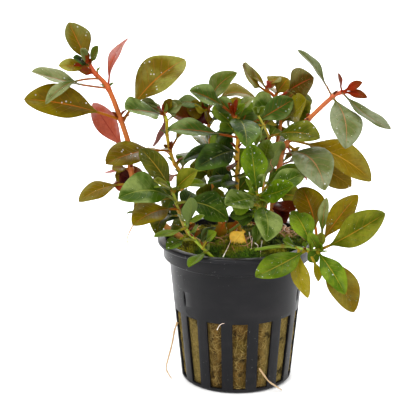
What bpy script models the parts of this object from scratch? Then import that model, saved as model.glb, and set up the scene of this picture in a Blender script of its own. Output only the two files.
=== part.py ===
"""Potted aquarium plant: eleven leafy shoots in a slotted net pot filled with rock wool.

The origin is the centre of the pot's underside and +Z is up. Sizes are millimetres and whole
degrees in the tables, and metres once they are points.
"""
import math

import bmesh
import bpy
from mathutils import Vector

MM = 0.001
GAP = 0.3                   # air between pieces that touch in the real thing
UP = Vector((0.0, 0.0, 1.0))
DEPTH = Vector((0.0, 1.0, 0.0))

# Pot
POT_HEIGHT = 51.5
LIP_RADIUS = 28.0
LIP_DEPTH = 1.6
LIP_ROUND = 0.4
COLLAR_RADIUS = 26.0
COLLAR_BOTTOM = 44.8
WALL_TOP_RADIUS = 24.0
FOOT_RADIUS = 19.7
FOOT_ROUND = 1.0
WALL = 0.9
FLOOR = 0.9
POT_STEPS = 36

# Slots in the pot's wall, and the lens-shaped stacking slits above them
SLOTS = 15
SLOT_COMPASS = -88.0        # the slot just right of the front; compasses turn from +X towards +Y
SLOT_BOTTOM = 1.4
SLOT_TOP = 26.5
SLOT_WIDTH_LOW = 4.3
SLOT_WIDTH_HIGH = 5.4
SLIT_COMPASSES = (-143.0, -23.0, 97.0)
SLIT_MIDDLE = 33.0
SLIT_LENGTH = 6.0
SLIT_WIDTH = 0.9
CUT_FROM = 15.0
CUT_TO = 30.0

# Rock wool and the moss over it
WOOL_TOP = 48.0
WOOL_STEPS = 24
WOOL_RINGS = (9.0, 17.0, 25.0, 33.0, 41.0)
WOOL_DENT = 0.25
MOSS_RADIUS = 24.4
MOSS_MIDDLE = 51.0
MOSS_STEPS = 20
MOSS_LUMP = 0.35
MOSS_LEAST = 0.7
MOSS_TILT = (0.04, -0.06)   # rise for each millimetre along x and y
MOSS_FALL = 2.0             # drop at the pot's wall
MOSS_RINGS = (1.0, 0.93, 0.75, 0.5, 0.25)

# Stems and leaves
STEM_SIDES = 5
STEM_RINGS = 2              # rings for each stretch between two points of a route
STEM_TAPER = 0.3
BUD_LENGTH = 1.5
YOUNG_START = 0.15          # how far out of the stem's middle a young leaf starts
LEAF_THICKNESS = 0.7
PETIOLE_HALF = 0.45
SHORT_PETIOLE = 0.12        # a shorter one, as a share of the reach, has no ring of its own
LEAF_FOLD = 0.25            # rise of the margins over the midrib, as a share of the half width
BLADE_SKEW = 1.2            # above 1 the blade is widest past its middle
BLADE_FULLNESS = 0.8
LEAF_STATIONS = (0.15, 0.38, 0.62, 0.85)
YOUNG_STATIONS = (0.35, 0.7)

# Finishes: colour (linear), roughness
FINISHES = {
    "pot": ((0.012, 0.012, 0.014), 0.42),
    "rock_wool": ((0.20, 0.14, 0.05), 0.95),
    "moss": ((0.04, 0.09, 0.01), 0.9),
    "root": ((0.62, 0.50, 0.30), 0.7),
    "dead_leaf": ((0.55, 0.28, 0.05), 0.6),
    "red_stem": ((0.50, 0.15, 0.04), 0.5),
    "yellow_stem": ((0.36, 0.28, 0.05), 0.5),
    "olive_leaf": ((0.13, 0.11, 0.01), 0.45),
    "green_leaf": ((0.07, 0.14, 0.01), 0.45),
    "dark_leaf": ((0.03, 0.07, 0.01), 0.45),
}

# One entry for each shoot. Its route runs from the root end (x, y; it stands on the moss) to the
# tip (x, y, z), a point at each node. A leaf's row is: place on the route, compass and rise of
# its tip seen from there, reach to the tip, width, roll about that line, share of the reach that
# is petiole (%), arch towards the upper face (%), and sideways bend (%). Large leaves are pieces
# of their own; young ones are grown on the stem.
SHOOTS = {
    "left_tall": {
        "radius": 0.8, "stem": "red_stem", "leaf": "olive_leaf",
        "route": [(-19, 5), (-29, 2, 58), (-35, 0, 68), (-37, -1, 76), (-37, -2, 83),
                  (-40, -3, 94), (-44, -4, 105), (-48, -5, 110), (-50, -5, 113)],
        "leaves": [
            (6.0, -167, 15, 26.5, 10, 19, 33, -4, -1),
            (5.0, -169, 15, 33.5, 13.5, 49, 22, 3, 0),
            (6.0, 49, 61, 19, 7.5, 18, 12, 6, -5),
            (4.9, 30, 40, 32, 15.5, -31, 22, 3, -4),
            (2.3, -147, -8, 22, 8, 28, 25, 7, 5),
            (6.6, -133, -11, 24.5, 5, 20, 35, 7, 6),
        ],
        "young": [
            (8.0, 159, 64, 16, 10, 29, 8, -1, -2),
            (3.6, 154, 39, 22.5, 7.5, -86, 22, 3, -5),
            (8.0, -153, 4, 11, 6, 42, 10, -1, -4),
            (8.0, -50, 56, 8.5, 4, -92, 10, -1, 1),
            (8.0, -111, 48, 8.5, 4, 95, 10, 0, 0),
            (8.0, -129, 25, 8.5, 4, 55, 10, 0, 0),
            (3.0, -155, 9, 7, 6, 25, 20, 5, 0),
            (3.0, 169, -9, 10, 3, 10, 30, 0, 0),
            (2.6, 151, -18, 8, 7, 20, 20, 0, 0),
            (2.0, 160, -33, 7, 3, 20, 20, 0, 0),
            (1.3, -171, -9, 8, 3, 5, 20, 0, 0),
        ],
    },
    "left_inner": {
        "radius": 0.7, "stem": "yellow_stem", "leaf": "olive_leaf",
        "route": [(-13, 8), (-18, 8, 58), (-20, 8, 72), (-22, 7, 76), (-24, 6, 81),
                  (-25, 5, 87), (-25, 4, 92), (-26, 3, 96)],
        "leaves": [
            (6.8, -128, 13, 20.5, 10, 27, 10, 1, 0),
            (4.0, -134, 3, 29.5, 12, 27, 25, 4, 0),
        ],
        "young": [
            (7.0, -2, 13, 12.5, 8, -5, 15, 10, 0),
            (7.0, 116, -56, 16.5, 5.5, 29, 12, -9, 7),
            (7.0, -103, 18, 13, 4, 55, 10, 0, 0),
            (7.0, -94, 22, 11, 4, 95, 10, 0, 0),
            (7.0, -70, 30, 9, 4, -75, 10, 0, 0),
            (2.7, 41, 49, 4.5, 4, -5, 40, 0, 0),
            (2.0, -147, -5, 11, 7, 20, 15, 0, 0),
            (4.0, 21, 53, 12.5, 5, -15, 30, 5, 0),
            (3.7, 112, -12, 22, 9, 0, 15, 8, 0),
            (2.0, 78, 12, 21, 9, 10, 15, 8, 0),
        ],
    },
    "left_front": {
        "radius": 0.7, "stem": "yellow_stem", "leaf": "green_leaf",
        "route": [(-11, -9), (-17, -14, 57), (-20, -19, 66), (-22, -22, 74)],
        "leaves": [
            (2.8, 158, 52, 19, 9, 32, 12, 4, 3),
            (2.5, -140, 13, 23.5, 12.5, 43, 12, 10, 8),
            (2.1, -134, -2, 20.5, 11, 22, 15, 6, 2),
            (2.4, -2, -18, 18.5, 11.5, -41, 12, 9, -7),
            (1.8, -121, -12, 14.5, 7.5, -5, 10, 14, 13),
        ],
        "young": [
            (2.9, -22, 44, 12, 7, -65, 10, 5, 0),
            (3.0, -126, 28, 11, 5, 40, 10, 5, 0),
            (3.0, -140, 18, 8, 3, 5, 10, 5, 0),
            (3.0, 37, 3, 14, 4.5, -33, 35, 1, -1),
            (3.0, 180, 50, 4, 3, 25, 10, 0, 0),
        ],
    },
    "left_rim": {
        "radius": 0.5, "stem": "yellow_stem", "leaf": "green_leaf",
        "route": [(-8, -22), (-12, -23.5, 54.5), (-15, -24.5, 58), (-17, -25, 61), (-18, -25, 64)],
        "leaves": [],
        "young": [
            (3.2, -79, 69, 13, 6.5, -28, 8, -3, -5),
            (3.4, -126, 3, 17, 5, 7, 20, -2, -4),
            (1.9, -125, 2, 15.5, 5, 22, 42, 7, 3),
            (2.7, -48, 43, 5.5, 2, -75, 10, -9, 11),
            (1.0, -36, 48, 8.5, 4.5, -62, 35, 5, -5),
            (0.7, -111, -3, 15.5, 5, -7, 15, 2, -2),
            (4.0, -32, 23, 8.5, 3, -43, 10, -2, 2),
            (4.0, -101, 39, 6, 3, 31, 10, -8, 7),
        ],
    },
    "back_left": {
        "radius": 0.6, "stem": "yellow_stem", "leaf": "dark_leaf",
        "route": [(-5, 14), (-8, 15, 61), (-9, 15, 76), (-10, 15, 88), (-10, 14, 95)],
        "leaves": [
            (3.6, -45, 50, 21.5, 8.5, -79, 12, 9, -9),
            (3.9, 8, 12, 17.5, 9, -23, 25, 16, -13),
        ],
        "young": [
            (3.2, -149, 28, 15, 8, 40, 40, 10, 0),
            (3.0, -172, 24, 15, 9, 30, 25, 3, 0),
            (3.2, -38, 31, 9, 5, -50, 15, 0, 0),
            (4.0, -137, 48, 4.5, 4, 65, 10, 0, 0),
            (4.0, 33, 58, 4, 4, 0, 10, 0, 0),
            (2.7, -121, 14, 6, 3, 35, 40, 0, 0),
            (2.0, 104, 13, 20, 9, 0, 15, 10, 0),
            (3.0, 57, 10, 22, 9, 0, 15, 10, 0),
            (1.0, 133, 15, 21, 9, 0, 15, 10, 0),
            (0.6, 80, 3, 17.5, 8, 0, 15, 10, 0),
        ],
    },
    "centre": {
        "radius": 0.75, "stem": "yellow_stem", "leaf": "dark_leaf",
        "route": [(1, 3), (0, 3, 64), (0, 2, 73), (0, 1, 82), (0, 0, 89), (-1, -1, 95)],
        "leaves": [
            (5.0, -155, 32, 19.5, 10, 40, 28, 4, 0),
            (4.8, -82, -11, 24, 10.5, 10, 6, 10, 0),
            (3.7, -158, 13, 26, 10, 26, 25, 1, 0),
            (3.0, -129, -4, 22.5, 10, 40, 10, 12, 0),
            (3.0, 164, -12, 20.5, 8, 30, 20, 8, 0),
        ],
        "young": [
            (4.0, 137, -19, 11, 8, 55, 10, 5, 0),
            (5.0, -110, 40, 8.5, 3, 95, 10, 0, 0),
            (5.0, -67, 35, 9, 3, -95, 10, 0, 0),
            (5.0, -32, 43, 10, 5, -50, 10, 5, 0),
            (5.0, -58, 79, 6, 3, -90, 10, 0, 0),
            (2.4, -164, -4, 17, 5, 15, 10, 5, 0),
            (2.0, -146, -3, 12.5, 5, 15, 10, 0, 0),
            (1.7, -113, 6, 12.5, 6, 10, 10, 5, 0),
            (2.6, -113, -13, 8, 4, -15, 10, 0, 0),
            (2.0, -69, 15, 11, 5, -35, 10, 0, 0),
            (1.0, -120, 8, 17.5, 6, 25, 15, 0, 0),
            (2.0, 67, 14, 22, 9, 0, 15, 10, 0),
            (4.0, 78, 2, 15, 8, 0, 15, 10, 0),
            (1.0, 90, 0, 19, 8, 0, 15, 10, 0),
        ],
    },
    "centre_pale": {
        "radius": 0.5, "stem": "yellow_stem", "leaf": "green_leaf",
        "route": [(8, 4), (9, 4, 64), (10, 4, 82), (11, 3, 86), (9, 2, 91), (7, 0, 95)],
        "leaves": [
            (3.1, -41, 8, 22, 10, -38, 20, 8, -3),
        ],
        "young": [
            (1.7, -85, 41, 16, 7, -145, 10, 5, 0),
            (5.0, -77, 27, 9, 3, -95, 10, 0, 0),
            (5.0, -113, 33, 6, 3, 85, 10, 0, 0),
            (4.0, -107, -25, 11.5, 3, -20, 20, 0, 0),
            (4.0, -158, 4, 5.5, 3, 40, 30, 0, 0),
            (4.0, 50, -22, 4, 3, -65, 10, 0, 0),
            (1.9, 35, -7, 6, 4, -25, 15, 0, 0),
        ],
    },
    "back_right": {
        "radius": 0.7, "stem": "red_stem", "leaf": "olive_leaf",
        "route": [(9, 13), (11, 14, 61), (14, 15, 79), (16, 13, 93), (14, 13, 98),
                  (10, 12, 102)],
        "leaves": [
            (4.5, -136, 39, 19, 9, 63, 25, -6, -7),
            (4.0, -34, 33, 17, 11.5, -73, 35, 3, -1),
            (3.0, -144, 10, 14.5, 11, 51, 5, 9, 9),
            (2.8, -59, 33, 17.5, 9.5, -79, 25, -2, 6),
        ],
        "young": [
            (5.0, 31, 33, 7, 7, -10, 20, 5, 0),
            (5.0, 0, 30, 4, 4, -35, 10, 0, 0),
            (5.0, -60, 45, 4, 3, 75, 10, 0, 0),
            (3.5, 0, 7, 11.5, 6, -75, 40, 5, 0),
            (2.0, -156, 42, 10, 7, 45, 20, 0, 0),
            (4.0, 89, 0, 20, 9, 0, 15, 10, 0),
            (3.0, 67, -2, 19.5, 9, 0, 15, 10, 0),
            (2.0, 68, 8, 20.5, 10, 0, 15, 10, 0),
            (1.0, 52, 14, 21, 9, 0, 15, 10, 0),
        ],
    },
    "right_arch": {
        "radius": 0.8, "stem": "red_stem", "leaf": "olive_leaf",
        "route": [(12, 7), (13, 6, 63), (15, 5, 76), (17, 3, 84), (24, 0, 93),
                  (32, -4, 102), (35, -6, 104)],
        "leaves": [
            (5.0, 170, 53, 20, 6.5, 14, 30, 4, 3),
            (5.0, -80, -34, 23, 12, 12, 4, 7, -5),
            (6.0, -26, -32, 21, 10, -5, 5, -6, 3),
            (2.5, -60, -15, 27.5, 14, -15, 10, 17, -12),
            (3.2, -9, -24, 32, 13.5, -37, 15, 8, -4),
        ],
        "young": [
            (6.0, -142, 74, 6, 3, 75, 10, 0, 0),
            (6.0, -24, -6, 7.5, 3.5, -20, 10, 5, 0),
            (6.0, -20, 55, 5, 3, -40, 10, 0, 0),
            (3.0, 17, -33, 25, 5, -55, 30, 7, -11),
            (3.0, -7, -59, 15, 3, -20, 30, 0, 0),
            (1.0, -57, -8, 12, 9, -10, 10, 0, 0),
            (2.0, 23, 39, 10, 3, -15, 10, 0, 0),
            (3.0, 59, 0, 19.5, 9, 0, 15, 10, 0),
            (2.0, 45, -11, 21.5, 9, 0, 15, 10, 0),
        ],
    },
    "front_centre": {
        "radius": 0.7, "stem": "yellow_stem", "leaf": "green_leaf",
        "route": [(7, -13), (7, -16, 60), (7, -18, 68), (6, -19, 73)],
        "leaves": [
            (3.0, 107, 71, 16, 10, -6, 5, -1, -2),
            (2.6, -47, 23, 17.5, 8, -63, 8, 1, 5),
            (2.6, -121, 7, 21, 9, 39, 10, 0, -2),
            (2.1, -84, -22, 20, 10, 15, 8, 7, -3),
            (2.6, 19, 23, 18.5, 8, -41, 15, 3, 2),
        ],
        "young": [
            (3.0, -115, 36, 5, 3, 80, 10, 0, 0),
            (3.0, -55, 59, 7.5, 4, -90, 10, 0, 0),
            (2.4, -64, 5, 7.5, 4, 10, 10, 0, 0),
            (2.3, -95, 5, 5, 3, -10, 10, 0, 0),
            (2.2, 36, 21, 23.5, 4, -78, 20, -2, -19),
            (2.2, 122, 42, 10, 4, -10, 10, 0, 0),
        ],
    },
    "right_rim": {
        "radius": 0.6, "stem": "yellow_stem", "leaf": "green_leaf",
        "route": [(4, -18), (15, -23, 55), (22, -27, 55), (27, -28, 55)],
        "leaves": [
            (2.4, 124, 47, 15.5, 8.5, 17, 12, 5, 4),
            (2.8, 105, 45, 25, 10.5, 18, 30, 2, 5),
            (2.7, 8, 54, 23, 8, -48, 25, 0, 0),
            (2.9, -28, 36, 27, 11.5, -61, 20, 0, 2),
            (2.1, -138, -9, 23.5, 9.5, 32, 8, 1, -1),
            (1.7, -83, -38, 19.5, 6.5, 11, 6, -1, 9),
            (2.7, -65, -25, 21, 7.5, -22, 8, 5, -1),
            (2.7, -41, -47, 24, 11, -27, 14, 6, -4),
        ],
        "young": [
            (2.1, -66, -44, 12, 3.5, 8, 40, 6, -5),
            (3.0, -80, 12, 5, 3.5, 10, 10, 0, 0),
            (2.4, -100, 60, 4.5, 3, 40, 10, 0, 0),
            (1.6, -165, 30, 6, 5, 25, 10, 0, 0),
            (3.0, 75, 66, 18, 5, 33, 30, -1, 1),
            (2.3, -82, 51, 5, 4, -110, 10, 0, 0),
        ],
    },
}

# Loose pieces
AERIAL_ROOT = [(-31, 1, 61), (-35, -1, 58), (-38, -2, 53), (-38.5, -2, 50), (-37, -2, 47)]
SIDE_ROOT = [(-21.4, 0, 15.5), (-22.4, -1, 13), (-23.8, -1, 9), (-25.2, 1, 5.5), (-25, 3, 2.5),
             (-23.2, 5, 0.6)]
ROOT_RADIUS = 0.28
DEAD_LEAF_FOOT = (-1.5, -9.5)
DEAD_LEAF = (50, 35, 7.5, 6, 30, 12, 10, 0)


def mm(point):
    """A table's point in metres."""
    return Vector(point) * MM


def compass(turn, radius, height):
    """The point at a compass turn, radius and height about the pot's axis, in millimetres."""
    angle = math.radians(turn)
    return (radius * math.cos(angle), radius * math.sin(angle), height)


def lumps(x, y, z=0.0):
    """A smooth unevenness between -1 and 1 over millimetre positions."""
    return (math.sin(0.9 * x + 0.4 * z + 1.0) * math.cos(0.8 * y - 0.3 * z)
            + 0.5 * math.sin(0.37 * x - 0.55 * y + 2.0)) / 1.5


def moss_top(x, y):
    """Height of the moss: a low cushion that falls to the pot's wall and to the left back."""
    share = math.hypot(x, y) / MOSS_RADIUS
    height = MOSS_MIDDLE + MOSS_TILT[0] * x + MOSS_TILT[1] * y - MOSS_FALL * share ** 6
    return max(height + MOSS_LUMP * lumps(x, y), WOOL_TOP + GAP + MOSS_LEAST)


def pot_inside(height):
    """Radius of the pot's inner face at a height."""
    if height >= COLLAR_BOTTOM:
        return COLLAR_RADIUS - WALL
    share = (height - FLOOR) / (COLLAR_BOTTOM - FLOOR)
    return FOOT_RADIUS - WALL + share * (WALL_TOP_RADIUS - FOOT_RADIUS)


def along(route, place):
    """The point on a smooth (Catmull-Rom) curve through a route's points."""
    points = [2 * route[0] - route[1], *route, 2 * route[-1] - route[-2]]
    start = min(int(place), len(route) - 2)
    t = place - start
    before, here, there, after = points[start:start + 4]
    return 0.5 * (2 * here + (there - before) * t
                  + (2 * before - 5 * here + 4 * there - after) * t * t
                  + (3 * here - before - 3 * there + after) * t ** 3)


def heading(route, place):
    """Unit direction of the smooth curve at a place."""
    last = len(route) - 1
    return (along(route, min(place + 0.05, last)) - along(route, max(place - 0.05, 0))).normalized()


def finish(name):
    """The material of one finish, made once."""
    if name in bpy.data.materials:
        return bpy.data.materials[name]
    colour, roughness = FINISHES[name]
    material = bpy.data.materials.new(name)
    material.use_nodes = True
    shader = material.node_tree.nodes["Principled BSDF"]
    shader.inputs["Base Color"].default_value = (*colour, 1.0)
    shader.inputs["Roughness"].default_value = roughness
    shader.inputs["Metallic"].default_value = 0.0
    return material


def add_piece(name, bm, finish_name):
    """A smooth-shaded object from a bmesh, with its faces pointing out."""
    bmesh.ops.recalc_face_normals(bm, faces=bm.faces)
    mesh = bpy.data.meshes.new(name)
    bm.to_mesh(mesh)
    bm.free()
    mesh.materials.append(finish(finish_name))
    mesh.shade_smooth()
    mesh.set_sharp_from_angle(angle=math.radians(40))
    piece = bpy.data.objects.new(name, mesh)
    bpy.context.scene.collection.objects.link(piece)
    return piece


def as_guide(piece):
    """Marks an object as a tool for a Boolean, not a piece of the model."""
    piece.hide_render = True
    piece.display_type = "WIRE"
    return piece


def loft(bm, rings, start=None, end=None, split=False):
    """A closed skin over rings; each end closes on a point where one is given, else on a face.

    A split skin is all triangles, cut from its even columns to its odd ones, so that the two
    sides of a thin folded leaf are cut alike and never cross.
    """
    rows = [[bm.verts.new(point) for point in ring] for ring in rings]
    count = len(rows[0])
    for low, high in zip(rows, rows[1:]):
        for k in range(count):
            after = (k + 1) % count
            if not split:
                bm.faces.new((low[k], low[after], high[after], high[k]))
            elif k % 2 == 0:
                bm.faces.new((low[k], low[after], high[after]))
                bm.faces.new((low[k], high[after], high[k]))
            else:
                bm.faces.new((low[k], low[after], high[k]))
                bm.faces.new((low[after], high[after], high[k]))
    for row, point in ((rows[0], start), (rows[-1], end)):
        if point is None:
            bm.faces.new(row)
            continue
        pole = bm.verts.new(point)
        for k in range(count):
            bm.faces.new((row[k], row[(k + 1) % count], pole))


def circle(radius, height, steps):
    """A level ring of points about the pot's axis, in metres."""
    return [mm(compass(360.0 * k / steps, radius, height)) for k in range(steps)]


def build_pot():
    """Turned wall with a stepped collar, lip and floor; the slots and slits are cut from it."""
    lip_top = POT_HEIGHT
    lip_foot = POT_HEIGHT - LIP_DEPTH
    outside = [
        (FOOT_RADIUS - FOOT_ROUND, 0.0),
        (FOOT_RADIUS - 0.3 * FOOT_ROUND, 0.3 * FOOT_ROUND),
        (FOOT_RADIUS, FOOT_ROUND),
        (WALL_TOP_RADIUS, COLLAR_BOTTOM),
        (COLLAR_RADIUS, COLLAR_BOTTOM + 0.5 * WALL),
        (COLLAR_RADIUS + LIP_ROUND, lip_foot),
        (LIP_RADIUS, lip_foot),
        (LIP_RADIUS, lip_top - LIP_ROUND),
        (LIP_RADIUS - LIP_ROUND, lip_top),
    ]
    inside = [
        (COLLAR_RADIUS - WALL + LIP_ROUND, lip_top),
        (COLLAR_RADIUS - WALL, lip_top - LIP_ROUND),
        (COLLAR_RADIUS - WALL, COLLAR_BOTTOM + WALL),
        (WALL_TOP_RADIUS - WALL, COLLAR_BOTTOM),
        (FOOT_RADIUS - WALL, FLOOR),
    ]
    bm = bmesh.new()
    rings = [circle(radius, height, POT_STEPS) for radius, height in outside + inside]
    loft(bm, rings, start=mm((0, 0, 0)), end=mm((0, 0, FLOOR)))
    pot = add_piece("pot", bm, "pot")
    cut = pot.modifiers.new("slots", "BOOLEAN")
    cut.operation = "DIFFERENCE"
    cut.solver = "EXACT"
    cut.object = slot_cutter()


def slot_cutter():
    """One guide with a tapered bar through the wall for each slot and a lens bar for each slit."""
    bm = bmesh.new()
    slot = [(-SLOT_WIDTH_LOW / 2, SLOT_BOTTOM), (SLOT_WIDTH_LOW / 2, SLOT_BOTTOM),
            (SLOT_WIDTH_HIGH / 2, SLOT_TOP), (-SLOT_WIDTH_HIGH / 2, SLOT_TOP)]
    for k in range(SLOTS):
        radial_bar(bm, slot, SLOT_COMPASS + 360.0 * k / SLOTS)
    slit = [(0, SLIT_MIDDLE - SLIT_LENGTH / 2), (SLIT_WIDTH / 2, SLIT_MIDDLE - SLIT_LENGTH / 6),
            (SLIT_WIDTH / 2, SLIT_MIDDLE + SLIT_LENGTH / 6), (0, SLIT_MIDDLE + SLIT_LENGTH / 2),
            (-SLIT_WIDTH / 2, SLIT_MIDDLE + SLIT_LENGTH / 6),
            (-SLIT_WIDTH / 2, SLIT_MIDDLE - SLIT_LENGTH / 6)]
    for turn in SLIT_COMPASSES:
        radial_bar(bm, slit, turn)
    return as_guide(add_piece("slot_cutter", bm, "pot"))


def radial_bar(bm, outline, turn):
    """A bar of (across, height) outline that runs outwards along a compass turn."""
    out = Vector(compass(turn, 1.0, 0.0))
    across = UP.cross(out)
    rings = [[mm(out * reach + across * side + UP * height) for side, height in outline]
             for reach in (CUT_FROM, CUT_TO)]
    loft(bm, rings)


def build_rock_wool():
    """A plug that fills the pot to its wall, slightly dented all round, with a flat top."""
    bm = bmesh.new()
    heights = [FLOOR + GAP, *WOOL_RINGS, COLLAR_BOTTOM - GAP, WOOL_TOP]
    rings = []
    for height in heights:
        wall = pot_inside(min(height, COLLAR_BOTTOM - GAP)) - 2 * GAP
        ring = []
        for k in range(WOOL_STEPS):
            x, y, z = compass(360.0 * k / WOOL_STEPS, wall, height)
            dent = 1.0 - WOOL_DENT * (1.0 + lumps(x, y, z)) / wall
            ring.append(mm((x * dent, y * dent, z)))
        rings.append(ring)
    loft(bm, rings, start=mm((0, 0, FLOOR + GAP)), end=mm((0, 0, WOOL_TOP)))
    add_piece("rock_wool", bm, "rock_wool")


def build_moss():
    """A lumpy cushion on the rock wool, level below and uneven above."""
    bm = bmesh.new()
    floor = WOOL_TOP + GAP
    rings = [circle(0.9 * MOSS_RADIUS, floor, MOSS_STEPS)]
    for share in MOSS_RINGS:
        ring = []
        for k in range(MOSS_STEPS):
            x, y, _ = compass(360.0 * k / MOSS_STEPS, share * MOSS_RADIUS, 0.0)
            drop = 0.5 * MOSS_LEAST if share == 1.0 else 0.0
            ring.append(mm((x, y, moss_top(x, y) - drop)))
        rings.append(ring)
    loft(bm, rings, start=mm((0, 0, floor)), end=mm((0, 0, moss_top(0, 0))))
    add_piece("moss", bm, "moss")


def tube_rings(route, radius, sides, per_stretch, taper=0.0, level_foot=False):
    """Rings of a tube along a route's smooth curve, thinner towards its end."""
    stretches = len(route) - 1
    count = stretches * per_stretch
    rings = []
    for k in range(count + 1):
        place = k / per_stretch
        line = UP if level_foot and k == 0 else heading(route, place)
        side = line.cross(DEPTH).normalized()
        front = side.cross(line)
        size = radius * MM * (1.0 - taper * k / count)
        middle = along(route, place)
        turns = [2 * math.pi * n / sides for n in range(sides)]
        rings.append([middle + size * (side * math.cos(a) + front * math.sin(a)) for a in turns])
    return rings


def leaf_half_width(t, width, petiole):
    """Half width at share t of the reach: a thin petiole, then a skewed sine-shaped blade."""
    blade = max(t - petiole, 0.0) / (1.0 - petiole)
    return max(width / 2 * math.sin(math.pi * blade ** BLADE_SKEW) ** BLADE_FULLNESS, PETIOLE_HALF)


def leaf_solid(bm, foot, tip, row, stations):
    """A thin leaf from foot to tip: four-sided rings, V-folded along the midrib and arched."""
    _, _, _, _, width, roll, petiole, arch, bend = row
    petiole = petiole / 100
    axis = (tip - foot).normalized()
    reach = (tip - foot).length
    level = axis.cross(UP).normalized()
    over = level.cross(axis)
    turn = math.radians(roll)
    side = level * math.cos(turn) + over * math.sin(turn)
    face = side.cross(axis)
    thick = min(LEAF_THICKNESS, 0.2 * width) * MM / 2
    rings = []
    stalk = [0.0, petiole] if petiole > SHORT_PETIOLE else [0.0]
    for t in stalk + [petiole + (1.0 - petiole) * s for s in stations]:
        sag = reach * 4 * t * (1 - t) / 100
        middle = foot + axis * (reach * t) + face * (arch * sag) + side * (bend * sag)
        half = leaf_half_width(t, width, petiole) * MM
        fold = LEAF_FOLD * half if t > petiole else 0.0
        rings.append([middle - side * half + face * fold, middle + face * thick,
                      middle + side * half + face * fold, middle - face * thick])
    loft(bm, rings, end=tip, split=True)


def leaf_ends(route, radius, row, on_surface):
    """Foot and tip of a leaf: the foot is in the stem, or GAP off its surface."""
    place, turn, rise, reach = row[:4]
    node = along(route, place)
    flat = math.cos(math.radians(rise))
    aim = Vector(compass(turn, flat, math.sin(math.radians(rise))))
    tip = node + aim * reach * MM
    if not on_surface:
        return node + aim * YOUNG_START * MM, tip
    line = heading(route, place)
    out = (aim - aim.dot(line) * line).normalized()
    return node + out * (radius + PETIOLE_HALF + GAP) * MM, tip


def stem_route(points):
    """A shoot's route in metres; its root end stands on the moss."""
    x, y = points[0]
    root = (x, y, moss_top(x, y) + GAP + MOSS_LUMP)
    return [mm(root)] + [mm(point) for point in points[1:]]


def build_shoot(name, shoot):
    """One stem with its young leaves united with it, and its large leaves beside it."""
    route = stem_route(shoot["route"])
    radius = shoot["radius"]
    bm = bmesh.new()
    bud = route[-1] + heading(route, len(route) - 1) * BUD_LENGTH * MM
    rings = tube_rings(route, radius, STEM_SIDES, STEM_RINGS, STEM_TAPER, level_foot=True)
    loft(bm, rings, end=bud)
    stem = add_piece(f"stem_{name}", bm, shoot["stem"])
    for number, row in enumerate(shoot["leaves"], 1):
        bm = bmesh.new()
        foot, tip = leaf_ends(route, radius, row, on_surface=True)
        leaf_solid(bm, foot, tip, row, LEAF_STATIONS)
        add_piece(f"leaf_{name}_{number}", bm, shoot["leaf"])
    guides = bpy.data.collections.new(f"young_{name}")
    bpy.context.scene.collection.children.link(guides)
    for number, row in enumerate(shoot["young"], 1):
        bm = bmesh.new()
        foot, tip = leaf_ends(route, radius, row, on_surface=False)
        leaf_solid(bm, foot, tip, row, YOUNG_STATIONS)
        guide = as_guide(add_piece(f"young_{name}_{number}", bm, shoot["leaf"]))
        bpy.context.scene.collection.objects.unlink(guide)
        guides.objects.link(guide)
    if name == "left_tall":
        guides.objects.link(as_guide(root_piece("aerial_root", AERIAL_ROOT)))
    grow = stem.modifiers.new("young_leaves", "BOOLEAN")
    grow.operation = "UNION"
    grow.solver = "EXACT"
    grow.operand_type = "COLLECTION"
    grow.collection = guides


def root_piece(name, points):
    """A hanging root: a thin tube along a smooth curve."""
    bm = bmesh.new()
    rings = tube_rings([mm(point) for point in points], ROOT_RADIUS, STEM_SIDES, STEM_RINGS,
                       STEM_TAPER)
    loft(bm, rings)
    return add_piece(name, bm, "root")


def build_dead_leaf():
    """A small yellowed leaf standing tilted on the moss."""
    x, y = DEAD_LEAF_FOOT
    foot = mm((x, y, moss_top(x, y) + 2 * GAP))
    turn, rise, reach = DEAD_LEAF[:3]
    flat = math.cos(math.radians(rise))
    tip = foot + Vector(compass(turn, flat, math.sin(math.radians(rise)))) * reach * MM
    bm = bmesh.new()
    leaf_solid(bm, foot, tip, (0, *DEAD_LEAF), LEAF_STATIONS)
    add_piece("dead_leaf", bm, "dead_leaf")


def build():
    for thing in list(bpy.data.objects):
        bpy.data.objects.remove(thing, do_unlink=True)
    build_pot()
    build_rock_wool()
    build_moss()
    for name, shoot in SHOOTS.items():
        build_shoot(name, shoot)
    root_piece("side_root", SIDE_ROOT)
    build_dead_leaf()


build()
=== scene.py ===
"""Looks of a potted aquarium plant: leaves, stems, roots, moss, rock wool and a slotted net pot.

Tables are in millimetres and whole degrees, about the centre of the pot's underside, +Z up.
Points are worked out in millimetres and turned to metres where a mesh is made.
"""

import functools
import math

import bmesh
import bpy
import numpy as np
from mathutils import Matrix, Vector


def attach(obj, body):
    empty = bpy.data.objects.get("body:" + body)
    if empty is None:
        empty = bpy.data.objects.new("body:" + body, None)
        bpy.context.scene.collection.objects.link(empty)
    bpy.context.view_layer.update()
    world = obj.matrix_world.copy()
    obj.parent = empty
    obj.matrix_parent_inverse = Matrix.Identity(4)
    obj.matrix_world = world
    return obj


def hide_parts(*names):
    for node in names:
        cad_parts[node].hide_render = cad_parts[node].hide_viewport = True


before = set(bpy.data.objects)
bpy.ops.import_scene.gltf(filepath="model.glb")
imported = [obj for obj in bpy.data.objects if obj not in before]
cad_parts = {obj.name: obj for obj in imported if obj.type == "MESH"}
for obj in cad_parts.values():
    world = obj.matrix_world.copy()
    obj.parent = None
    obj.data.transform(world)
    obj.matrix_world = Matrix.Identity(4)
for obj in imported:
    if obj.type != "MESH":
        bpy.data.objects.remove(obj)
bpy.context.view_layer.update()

MM = 0.001
UP = np.array((0.0, 0.0, 1.0))
DEPTH = np.array((0.0, 1.0, 0.0))

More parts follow.
